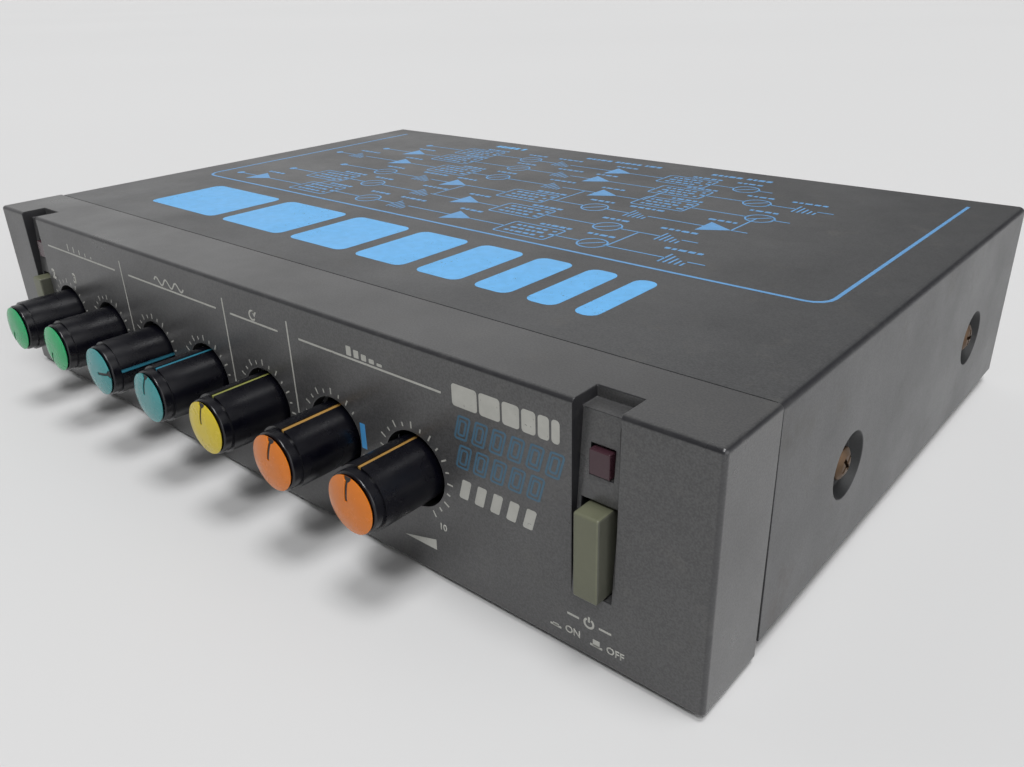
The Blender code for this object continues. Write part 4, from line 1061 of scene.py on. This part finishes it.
def make_jack(number):
    """A jack with its turned bushing and a funnel at its mouth."""
    node = f"jack_{number}"
    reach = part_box(node)[1].y - REAR_Y
    place = at_rear(node)
    bushing_profile = (
        (BUSHING_RADIUS, reach, BUSHING_EDGE),
        (BUSHING_RADIUS, -BUSHING_START),
    )
    bore_profile = (
        (JACK_MOUTH_RADIUS, reach + JACK_MOUTH_RISE),
        (JACK_BORE_RADIUS, reach - JACK_MOUTH_DEPTH),
        (JACK_BORE_RADIUS, -JACK_BORE_DEPTH),
    )
    jack = behind_the_panel(f"socket_{number}", node)
    join(jack, put(lathe("bushing", bushing_profile, SIDES), place))
    cut(jack, put(lathe("bore", bore_profile, SIDES), place))
    smooth(jack, 30)
    dress(jack, "black_plastic", "case", node)
    make_nut(number, place)


def make_nut(number, place):
    """A hexagon nut whose corners are turned down on the outside."""
    low, high = NUT_HEIGHTS
    nut = plug(f"hex_nut_{number}", NUT_ACROSS / 2 / math.cos(math.pi / 6), high, low, 6)
    dome_profile = (
        (NUT_FLAT_RADIUS, high),
        (NUT_DOME_RADIUS, NUT_DOME_HEIGHT),
        (NUT_DOME_RADIUS, low - OVERRUN),
    )
    combine(nut, [lathe("dome", dome_profile, SIDES)], "INTERSECT")
    cut(nut, plug("hole", NUT_HOLE_RADIUS, high + OVERRUN, low - OVERRUN))
    put(nut, place @ Matrix.Rotation(math.radians(NUT_TURN * number), 4, "Z"))
    round_edges(nut, NUT_EDGE, 2, 25)
    dress(nut, "nut_metal", "case", f"jack_nut_{number}")


def make_inlet():
    """The adaptor's socket: a low collar and a pin in a round bore."""
    place = at_rear("power_inlet")
    shoulder, shoulder_round = INLET_PIN_SHOULDER
    collar_profile = (
        (INLET_RADIUS, INLET_RISE, INLET_EDGE),
        (INLET_RADIUS, -OVERRUN),
    )
    bore_profile = (
        (INLET_BORE_RADIUS, OVERRUN),
        (INLET_BORE_RADIUS, -INLET_BORE_DEPTH),
        (INLET_PIN_RADIUS, -INLET_BORE_DEPTH),
        (INLET_PIN_RADIUS, -shoulder, shoulder_round),
        (0, -INLET_PIN_DEPTH),
        (0, OVERRUN),
    )
    inlet = behind_the_panel("adaptor_socket", "power_inlet")
    join(inlet, put(lathe("collar", collar_profile, SIDES), place))
    cut(inlet, put(lathe("ring", bore_profile, SIDES, True), place))
    smooth(inlet, 30)
    dress(inlet, "black_plastic", "case", "power_inlet")


# Ink


class Ink:
    """Flat shapes, drawn in millimetres, that become one thin printed piece."""

    def __init__(self):
        self.shape = bmesh.new()

    def fill(self, outline):
        self.shape.faces.new([self.shape.verts.new((u, v, 0)) for u, v in outline])

    def ribbon(self, pairs, closed=False):
        rows = [[self.shape.verts.new((point[0], point[1], 0)) for point in pair] for pair in pairs]
        spans = list(zip(rows, rows[1:]))
        if closed:
            spans.append((rows[-1], rows[0]))
        for first, second in spans:
            self.shape.faces.new((first[0], second[0], second[1], first[1]))

    def line(self, points, width, closed=False):
        """A line of one width along a path, mitred at its corners."""
        path = [Vector(point) for point in points]
        count = len(path)
        pairs = []
        for index, point in enumerate(path):
            first = index == 0 and not closed
            last = index == count - 1 and not closed
            way_out = None if last else (path[(index + 1) % count] - point).normalized()
            way_in = way_out if first else (point - path[index - 1]).normalized()
            along = (way_in + (way_in if last else way_out)).normalized()
            across = Vector((-along.y, along.x)) * width / 2 / max(0.3, along.dot(way_in))
            pairs.append((point + across, point - across))
        self.ribbon(pairs, closed)

    def box(self, us, vs, radius=0.0, width=None):
        """A filled box with round corners, or its outline if a width is given."""
        (u0, u1), (v0, v1) = sorted(us), sorted(vs)
        outline = rounded(((u0, v0, radius), (u1, v0, radius), (u1, v1, radius), (u0, v1, radius)), True)
        if width:
            self.line(outline, width, True)
        else:
            self.fill(outline)

    def disc(self, u, v, radius, sides=20):
        self.fill(self.circle(u, v, radius, 0, 360, sides)[:-1])

    def arc(self, u, v, radius, first, last, width, steps=24):
        self.line(self.circle(u, v, radius, first, last, steps), width, last - first >= 360)

    def circle(self, u, v, radius, first, last, steps):
        angles = [math.radians(first + (last - first) * step / steps) for step in range(steps + 1)]
        return [(u + radius * math.cos(a), v + radius * math.sin(a)) for a in angles]

    def words(self, text, u, v, size, weight=0.02):
        """Plain numbers or ON and OFF, centred on a point."""
        curve = bpy.data.curves.new("lettering", "FONT")
        curve.body = text
        curve.size = size
        curve.align_x = "CENTER"
        curve.align_y = "CENTER"
        curve.resolution_u = 3
        curve.offset = weight * size
        holder = add_object("lettering", curve)
        bpy.context.view_layer.update()
        graph = bpy.context.evaluated_depsgraph_get()
        mesh = bpy.data.meshes.new_from_object(holder.evaluated_get(graph))
        mesh.transform(Matrix.Translation((u, v, 0)))
        self.shape.from_mesh(mesh)
        bpy.data.objects.remove(holder, do_unlink=True)

    def build(self, name, matrix, material, proud=INK_PROUD):
        self.shape.transform(Matrix.Scale(MM, 4))
        for vertex in self.shape.verts:
            vertex.co.z = -INK_SUNK
        grown = bmesh.ops.extrude_face_region(self.shape, geom=self.shape.faces[:], use_keep_orig=True)
        for item in grown["geom"]:
            if isinstance(item, bmesh.types.BMVert):
                item.co.z = proud
        obj = from_bmesh(name, self.shape)
        put(obj, matrix)
        return dress(obj, None, "case", material=material)


ON_FRONT = Matrix(((1, 0, 0, 0), (0, 0, -1, FRONT_Y), (0, 1, 0, 0), (0, 0, 0, 1)))
ON_TOP = Matrix.Translation((0, FRONT_Y, TOP_Z))
ON_REAR = Matrix(((-1, 0, 0, 0), (0, 0, 1, REAR_Y), (0, 1, 0, 0), (0, 0, 0, 1)))

# Everything from here to the stage is in millimetres. On the front x is measured from the middle and
# heights from the floor; on the cover y is measured back from the front.
MM = 0.001
RULE = 0.38
FINE_RULE = 0.3

HEADING_RULES = ((-83.9, -48.5), (-42.1, -6.0), (-0.8, 15.2), (21.7, 58.9))
HEADING_HEIGHT = 38.8
DIVIDERS = (-45.4, -3.1, 18.4)
DIVIDER_HEIGHTS = (41.6, 22.4)
BLUE_MARK_X = 37.8
BLUE_MARK_HEIGHTS = (21.1, 26.3)
BLUE_MARK_WIDTH = 1.4

TICK_COUNT = 21
FIRST_TICK = -150
TICK_STEP = 15
TICK_START = 8.0
TICK_ENDS = (9.3, 8.8)
HIDDEN_TICKS = {6: (14, 15, 16)}  # where the blue mark is
SELECTOR_ANGLES = (-128, -38, 28, 92)
SELECTOR_REACH = 11.4
SELECTOR_SIZE = 3.5
SELECTOR_WEIGHT = 0.06
END_FIGURES = (("0", -5.9), ("10", 6.2))
END_FIGURE_DROP = 9.6
SMALL_SIZE = 1.9

SIGN_HEIGHT = 40.2
SIGN_HALF = 0.9
SIGN_BARS = 5
UPRIGHTS_X, UPRIGHTS_PITCH, UPRIGHTS_FALL = -72.0, 3.0, 0.3
WAVE_X, WAVE_STEP, WAVE_STEPS, WAVE_RISE, WAVE_LENGTH = -30.0, 0.4, 31, 0.8, 4
LOOP_X, LOOP_RADIUS, LOOP_SPAN = 7.2, 0.95, (40, 320)
LOOP_ARROW = ((0, 0.9), (1.5, 0.9), (0.75, -0.2))
BLOCKS_X, BLOCKS_PITCH, BLOCKS_WIDTH, BLOCKS_FALL, BLOCKS_ROUND = 35.6, 2.0, 1.3, 0.32, 0.15
LEVEL_WEDGE = ((47.0, 6.4), (55.2, 6.4), (55.2, 8.6))

TITLE_X = 61.4
TITLE_WIDTHS = (5.4, 4.3, 3.4, 2.7, 2.1, 1.5)
TITLE_HEIGHTS = (37.4, 41.3)
TITLE_ROUND = 0.6
TITLE_GAP = 0.44
OUTLINES_X = 61.5
OUTLINE_ROWS = ((31.6, 6), (26.2, 5))
OUTLINE_PITCH = 3.75
OUTLINE_SIZE = (3.15, 4.2)
OUTLINE_INSET = 0.75
SLANTS_X, SLANTS_PITCH, SLANTS_HEIGHT, SLANTS_COUNT = 61.7, 3.45, 20.2, 5
SLANT_SIZE = (2.55, 3.8)
LEAN = 0.28
LEAN_WIDTH = 0.78
LEAN_ROUND = 0.35

POWER_SIGN = (88.6, 7.7)
POWER_RADIUS = 0.85
POWER_SPAN = (120, 420)
POWER_BAR = (0.2, 1.25)
POWER_WINGS = (1.9, 4.2)
STATE_BASE = 3.9
STATE_MIDDLE = 4.4
STATES = (
    ("ON", 85.5, (81.0, 83.2), (81.5, 82.7), 0.45),
    ("OFF", 93.6, (88.9, 91.2), (89.4, 90.7), 1.2),
)
STATE_ROUND = 0.1

TOP_X = -80.0
TOP_WIDTHS = (30, 24, 19, 15, 12, 9, 7, 5)
TOP_DEPTHS = (27.5, 49.5)
TOP_GAP = 4
TOP_ROUND = 2.2
TOP_FRAME = ((-98, 140.6), (-98, 56.4), (98, 56.4), (98, 140.6))
TOP_FRAME_ROUND = 4
TOP_FRAME_RULE = 0.8
HEADING_Y = 138.6
BOLD_HEADING = (-52, 6, 2.6)
HEADINGS = ((-14, 13, 1.8), (30, 9, 1.8))

DASH_ROUND = 0.2
DASH_GAPS = (0.5, 0.5, 0.5, 0.5, 1.6)
DIAGRAM_RULE = 0.45
ROW_YS = (64, 77, 90, 103, 116, 128)
ROW_X, ROW_SHIFT = -90, 9
ROW_END, ROW_END_SHIFT = 66, 6
ROW_PARTS = 8
LINK_STEP, LINK_STEPS = 7, 4
DOT_RADIUS = 1.2
TAIL = 4
TRIANGLE = (7, 4)
CAPTION_PLACE = (-9, 5.6)
CAPTION_DASH = 1.2
BOX_SIZE = (15, 4.4)
BOX_ROUND = 0.8
BOX_ROWS = (-2.4, 0, 2.4)
DIAL_RADIUS = 3.4
DIAL_LINE = ((1.2, -2), (5.4, 2))
METER_BARS, METER_PITCH, METER_HALF = 5, 1.3, 3
LINKS = ((-58, 64, 77), (-20, 77, 90), (12, 90, 103), (46, 64, 77), (62, 90, 103), (30, 103, 116))
LINK_END = 0.3
JACK_FIGURE_RISE = 12
JACK_FIGURE_SIZE = 3.4


def moved(points, x, y):
    return [(x + u, y + v) for u, v in points]


def print_front():
    white, blue, mark = Ink(), Ink(), Ink()
    for first, last in HEADING_RULES:
        white.line(((first, HEADING_HEIGHT), (last, HEADING_HEIGHT)), RULE)
    for x in DIVIDERS:
        white.line([(x, height) for height in DIVIDER_HEIGHTS], RULE)
    for number in range(1, KNOB_COUNT + 1):
        x = middle(f"control_shaft_{number}").x / MM
        print_scale(white, x, middle(f"knob_{number}").z / MM, number)
    print_signs(white)
    mark.line([(BLUE_MARK_X, height) for height in BLUE_MARK_HEIGHTS], BLUE_MARK_WIDTH)
    print_title(white, blue)
    print_power(white)
    white.build("print_front_white", ON_FRONT, WHITE_ON_FRONT)
    blue.build("print_front_blue", ON_FRONT, BLUE_ON_FRONT)
    mark.build("print_front_mark", ON_FRONT, BLUE_MARK)


def around(degrees, reach):
    """A step from a dial's middle, by the angle from straight up."""
    angle = math.radians(degrees)
    return Vector((math.sin(angle), math.cos(angle))) * reach


def print_scale(white, x, z, number):
    """Ticks round a knob, and figures at their ends or, at the selector, round them."""
    here = Vector((x, z))
    for tick in range(TICK_COUNT):
        if tick in HIDDEN_TICKS.get(number, ()):
            continue
        degrees = FIRST_TICK + TICK_STEP * tick
        ends = (TICK_START, TICK_ENDS[tick % 2])
        white.line([here + around(degrees, reach) for reach in ends], FINE_RULE)
    if number == 1:
        for figure, degrees in enumerate(SELECTOR_ANGLES, start=1):
            place = here + around(degrees, SELECTOR_REACH)
            white.words(str(figure), *place, SELECTOR_SIZE, SELECTOR_WEIGHT)
        return
    for figure, aside in END_FIGURES:
        white.words(figure, x + aside, z - END_FIGURE_DROP, SMALL_SIZE)


def print_signs(white):
    """A small sign over each group of knobs, in place of its heading."""
    low, high = SIGN_HEIGHT - SIGN_HALF, SIGN_HEIGHT + SIGN_HALF
    for step in range(SIGN_BARS):
        x = UPRIGHTS_X + UPRIGHTS_PITCH * step
        white.line(((x, low), (x, high - UPRIGHTS_FALL * step)), RULE)
    reaches = [WAVE_STEP * step for step in range(WAVE_STEPS)]
    wave = [(reach, WAVE_RISE * math.sin(2 * math.pi * reach / WAVE_LENGTH)) for reach in reaches]
    white.line(moved(wave, WAVE_X, SIGN_HEIGHT), RULE)
    white.arc(LOOP_X, SIGN_HEIGHT, LOOP_RADIUS, *LOOP_SPAN, RULE)
    white.fill(moved(LOOP_ARROW, LOOP_X, SIGN_HEIGHT))
    for step in range(SIGN_BARS):
        x = BLOCKS_X + BLOCKS_PITCH * step
        white.box((x, x + BLOCKS_WIDTH), (low, high - BLOCKS_FALL * step), BLOCKS_ROUND)
    white.fill(LEVEL_WEDGE)


def falling_blocks(ink, x, widths, gap, span, radius):
    """Blocks in a row, each narrower than the one before."""
    for width in widths:
        ink.box((x, x + width), span, radius)
        x += width + gap


def print_title(white, blue):
    """A row of falling blocks, two rows of slanted outlines and a row of slanted blocks."""
    falling_blocks(white, TITLE_X, TITLE_WIDTHS, TITLE_GAP, TITLE_HEIGHTS, TITLE_ROUND)
    width, height = OUTLINE_SIZE
    inner = (width - 2 * OUTLINE_INSET, height - 2 * OUTLINE_INSET)
    for low, count in OUTLINE_ROWS:
        for step in range(count):
            x = OUTLINES_X + step * OUTLINE_PITCH
            slanted_box(blue, x, low, OUTLINE_SIZE, RULE)
            slanted_box(blue, x + OUTLINE_INSET, low + OUTLINE_INSET, inner, RULE)
    for step in range(SLANTS_COUNT):
        slanted_box(white, SLANTS_X + step * SLANTS_PITCH, SLANTS_HEIGHT, SLANT_SIZE)


def slanted_box(ink, x, low, size, rule=None):
    """A block that leans to the right, filled or as an outline."""
    width, height = size
    corners = []
    for side, level in ((0, 0), (1, 0), (1, 1), (0, 1)):
        u = x + side * width * LEAN_WIDTH + level * LEAN * height
        corners.append((u, low + level * height, LEAN_ROUND))
    outline = rounded(corners, True)
    if rule:
        ink.line(outline, rule, True)
    else:
        ink.fill(outline)


def print_power(white):
    """The sign for power, and ON and OFF with the button pressed and out."""
    x, z = POWER_SIGN
    white.arc(x, z, POWER_RADIUS, *POWER_SPAN, RULE, 18)
    white.line([(x, z + rise) for rise in POWER_BAR], RULE)
    for side in (-1, 1):
        white.line([(x + side * reach, z) for reach in POWER_WINGS], RULE)
    for word, place, base, button, rise in STATES:
        white.line([(end, STATE_BASE) for end in base], RULE)
        white.box(button, (STATE_BASE, STATE_BASE + rise), STATE_ROUND)
        white.words(word, place, STATE_MIDDLE, SMALL_SIZE)


def print_top():
    """Falling blocks across the cover, and a framed diagram of a signal's way behind them."""
    blue, fine = Ink(), Ink()
    falling_blocks(blue, TOP_X, TOP_WIDTHS, TOP_GAP, TOP_DEPTHS, TOP_ROUND)
    corners = [(*corner, TOP_FRAME_ROUND) for corner in TOP_FRAME]
    fine.line(rounded(corners, False), TOP_FRAME_RULE)
    print_dashes(blue, HEADING_Y, *BOLD_HEADING)
    for heading in HEADINGS:
        print_dashes(fine, HEADING_Y, *heading)
    for row, y in enumerate(ROW_YS):
        print_row(fine, row, y)
    print_links()
    blue.build("print_top_blue", ON_TOP, BLUE_ON_TOP)
    fine.build("print_top_fine", ON_TOP, FINE_BLUE_ON_TOP)


def print_dashes(ink, y, x, count, height):
    """Short bars of uneven width in a row, as small print looks from afar."""
    for step in range(count):
        width = 1.0 + 0.3 * ((step * 7 + int(y)) % 4)
        ink.box((x, x + width), (y, y + height), DASH_ROUND)
        x += width + DASH_GAPS[step % 5]


def print_triangle(fine, x, y):
    length, half = TRIANGLE
    fine.fill([(x, y + half), (x, y - half), (x + length, y)])
    return length


def print_box(fine, x, y):
    length, half = BOX_SIZE
    fine.box((x, x + length), (y - half, y + half), BOX_ROUND, DIAGRAM_RULE)
    for layer in BOX_ROWS:
        print_dashes(fine, y + layer - 0.5, x + 2, 6, 1.0)
    return length


def print_dial(fine, x, y):
    fine.arc(x + DIAL_RADIUS, y, DIAL_RADIUS, 0, 360, DIAGRAM_RULE)
    fine.line(moved(DIAL_LINE, x, y), DIAGRAM_RULE)
    return 2 * DIAL_RADIUS


def print_meter(fine, x, y):
    for bar in range(METER_BARS):
        u = x + METER_PITCH * bar
        fine.line(((u, y - METER_HALF), (u, y + METER_HALF - bar)), DIAGRAM_RULE)
    return METER_PITCH * (METER_BARS - 1)


def print_row(fine, row, y):
    """A chain of triangles, boxes, dials and meters joined by lines, with dashes for captions."""
    kinds = (print_triangle, print_box, print_dial, print_meter)
    x = ROW_X + ROW_SHIFT * (row % 3)
    fine.disc(x - DOT_RADIUS, y, DOT_RADIUS)
    for part in range(ROW_PARTS):
        step = LINK_STEP + LINK_STEPS * ((row + 2 * part) % 3)
        if x + step > ROW_END - ROW_END_SHIFT * (row % 2):
            break
        fine.line(((x, y), (x + step, y)), DIAGRAM_RULE)
        x += step
        x += kinds[(row + part) % 4](fine, x, y)
        aside, rise = CAPTION_PLACE
        print_dashes(fine, y + rise, x + aside, 4 + (row + part) % 2, CAPTION_DASH)
    fine.line(((x, y), (x + TAIL, y)), DIAGRAM_RULE)


def print_links():
    """Upright lines between the rows of the diagram, just under its other print."""
    links = Ink()
    for x, first, last in LINKS:
        links.line(((x, first + LINK_END), (x, last - LINK_END)), DIAGRAM_RULE)
    links.build("print_top_links", ON_TOP, FINE_BLUE_ON_TOP, INK_PROUD / 2)


def print_rear():
    white = Ink()
    for number in range(1, JACK_COUNT + 1):
        centre = middle(f"jack_{number}") / MM
        white.words(str(number), -centre.x, centre.z + JACK_FIGURE_RISE, JACK_FIGURE_SIZE)
    white.build("print_rear_white", ON_REAR, WHITE_ON_REAR)


# Stage


# Lamps: name, way toward the lamp, strength and angle across
LAMPS = (
    ("lamp_overhead", (0.17, 0.0, 1.0), 1.40, 20),
    ("lamp_in_front", (0.35, -0.50, 1.0), 1.22, 12),
)
FLOOR_COLOUR = (0.645, 0.645, 0.647)
CAMERA_SEES = 0.74
WORLD_BASE = 0.10
FLOOR_RADIUS = 8.0
FLOOR_CLOUDS = 1.4

# Soft lights in the world: way toward them, strength, and the closeness at which they begin and are full
WORLD_LIGHTS = (
    ((0.98, 0.0, 0.10), 1.9, 0.55, 0.98),
    ((-0.95, 0.25, 0.12), 0.55, 0.35, 0.98),
)


def make_stage():
    """The floor, which the camera sees as the plain ground of the photograph, and the lamps."""
    shape = bmesh.new()
    bmesh.ops.create_circle(shape, cap_ends=True, radius=FLOOR_RADIUS, segments=FINE_SIDES)
    floor = from_bmesh("floor", shape)
    if floor.data.polygons[0].normal.z < 0:
        floor.data.flip_normals()
    look = Look("floor", 0.9)
    cloud = look.spread(look.noise(FLOOR_CLOUDS, 2.0))
    look.colour(look.mix(cloud, shade(FLOOR_COLOUR, 0.99), shade(FLOOR_COLOUR, 1.01)))
    look.shader.inputs["Specular IOR Level"].default_value = 0.1
    floor.data.materials.append(look.material)
    make_world()
    for name, way, strength, angle in LAMPS:
        light = bpy.data.lights.new(name, "SUN")
        light.energy = strength
        light.angle = math.radians(angle)
        lamp = add_object(name, light)
        lamp.rotation_euler = Vector(way).to_track_quat("Z", "Y").to_euler()


def make_world():
    """Soft light from the right and from the left rear, and little from the front."""
    world = bpy.data.worlds.new("studio")
    bpy.context.scene.world = world
    world.use_nodes = True
    tree = world.node_tree
    background = tree.nodes["Background"]
    place = tree.nodes.new("ShaderNodeTexCoord").outputs["Generated"]
    level = WORLD_BASE
    for way, amount, first, last in WORLD_LIGHTS:
        toward = tree.nodes.new("ShaderNodeVectorMath")
        toward.operation = "DOT_PRODUCT"
        toward.inputs[1].default_value = Vector(way).normalized()
        tree.links.new(place, toward.inputs[0])
        ramp = tree.nodes.new("ShaderNodeMapRange")
        ramp.interpolation_type = "SMOOTHSTEP"
        ramp.inputs["From Min"].default_value = first
        ramp.inputs["From Max"].default_value = last
        ramp.inputs["To Max"].default_value = amount
        tree.links.new(toward.outputs["Value"], ramp.inputs["Value"])
        added = tree.nodes.new("ShaderNodeMath")
        tree.links.new(ramp.outputs["Result"], added.inputs[0])
        if isinstance(level, float):
            added.inputs[1].default_value = level
        else:
            tree.links.new(level, added.inputs[1])
        level = added.outputs[0]
    seen = tree.nodes.new("ShaderNodeMix")
    seen.inputs[3].default_value = CAMERA_SEES
    tree.links.new(level, seen.inputs[2])
    tree.links.new(tree.nodes.new("ShaderNodeLightPath").outputs["Is Camera Ray"], seen.inputs[0])
    tree.links.new(seen.outputs[0], background.inputs["Strength"])
    background.inputs["Color"].default_value = (1, 1, 1, 1)


def make_camera():
    data = bpy.data.cameras.new("camera")
    data.sensor_width = SENSOR
    data.lens = LENS
    data.clip_start = 0.005
    camera = add_object("camera", data)
    right, down, ahead = Vector(SIGHT_RIGHT), Vector(SIGHT_DOWN), Vector(SIGHT_AHEAD)
    camera.matrix_world = Matrix.Translation(EYE) @ Matrix((right, -down, -ahead)).transposed().to_4x4()
    bpy.context.scene.camera = camera


make_camera()
dress_nodes()
make_front_shell()
make_cover_shell()
make_side_screws()
make_feet()
for number in range(1, KNOB_COUNT + 1):
    make_knob(number)
for place in ("effect", "power"):
    make_button(place)
    make_lamp(place)
for number in range(1, JACK_COUNT + 1):
    make_jack(number)
make_inlet()
print_front()
print_top()
print_rear()
make_stage()
bpy.context.scene.view_settings.view_transform = "Standard"
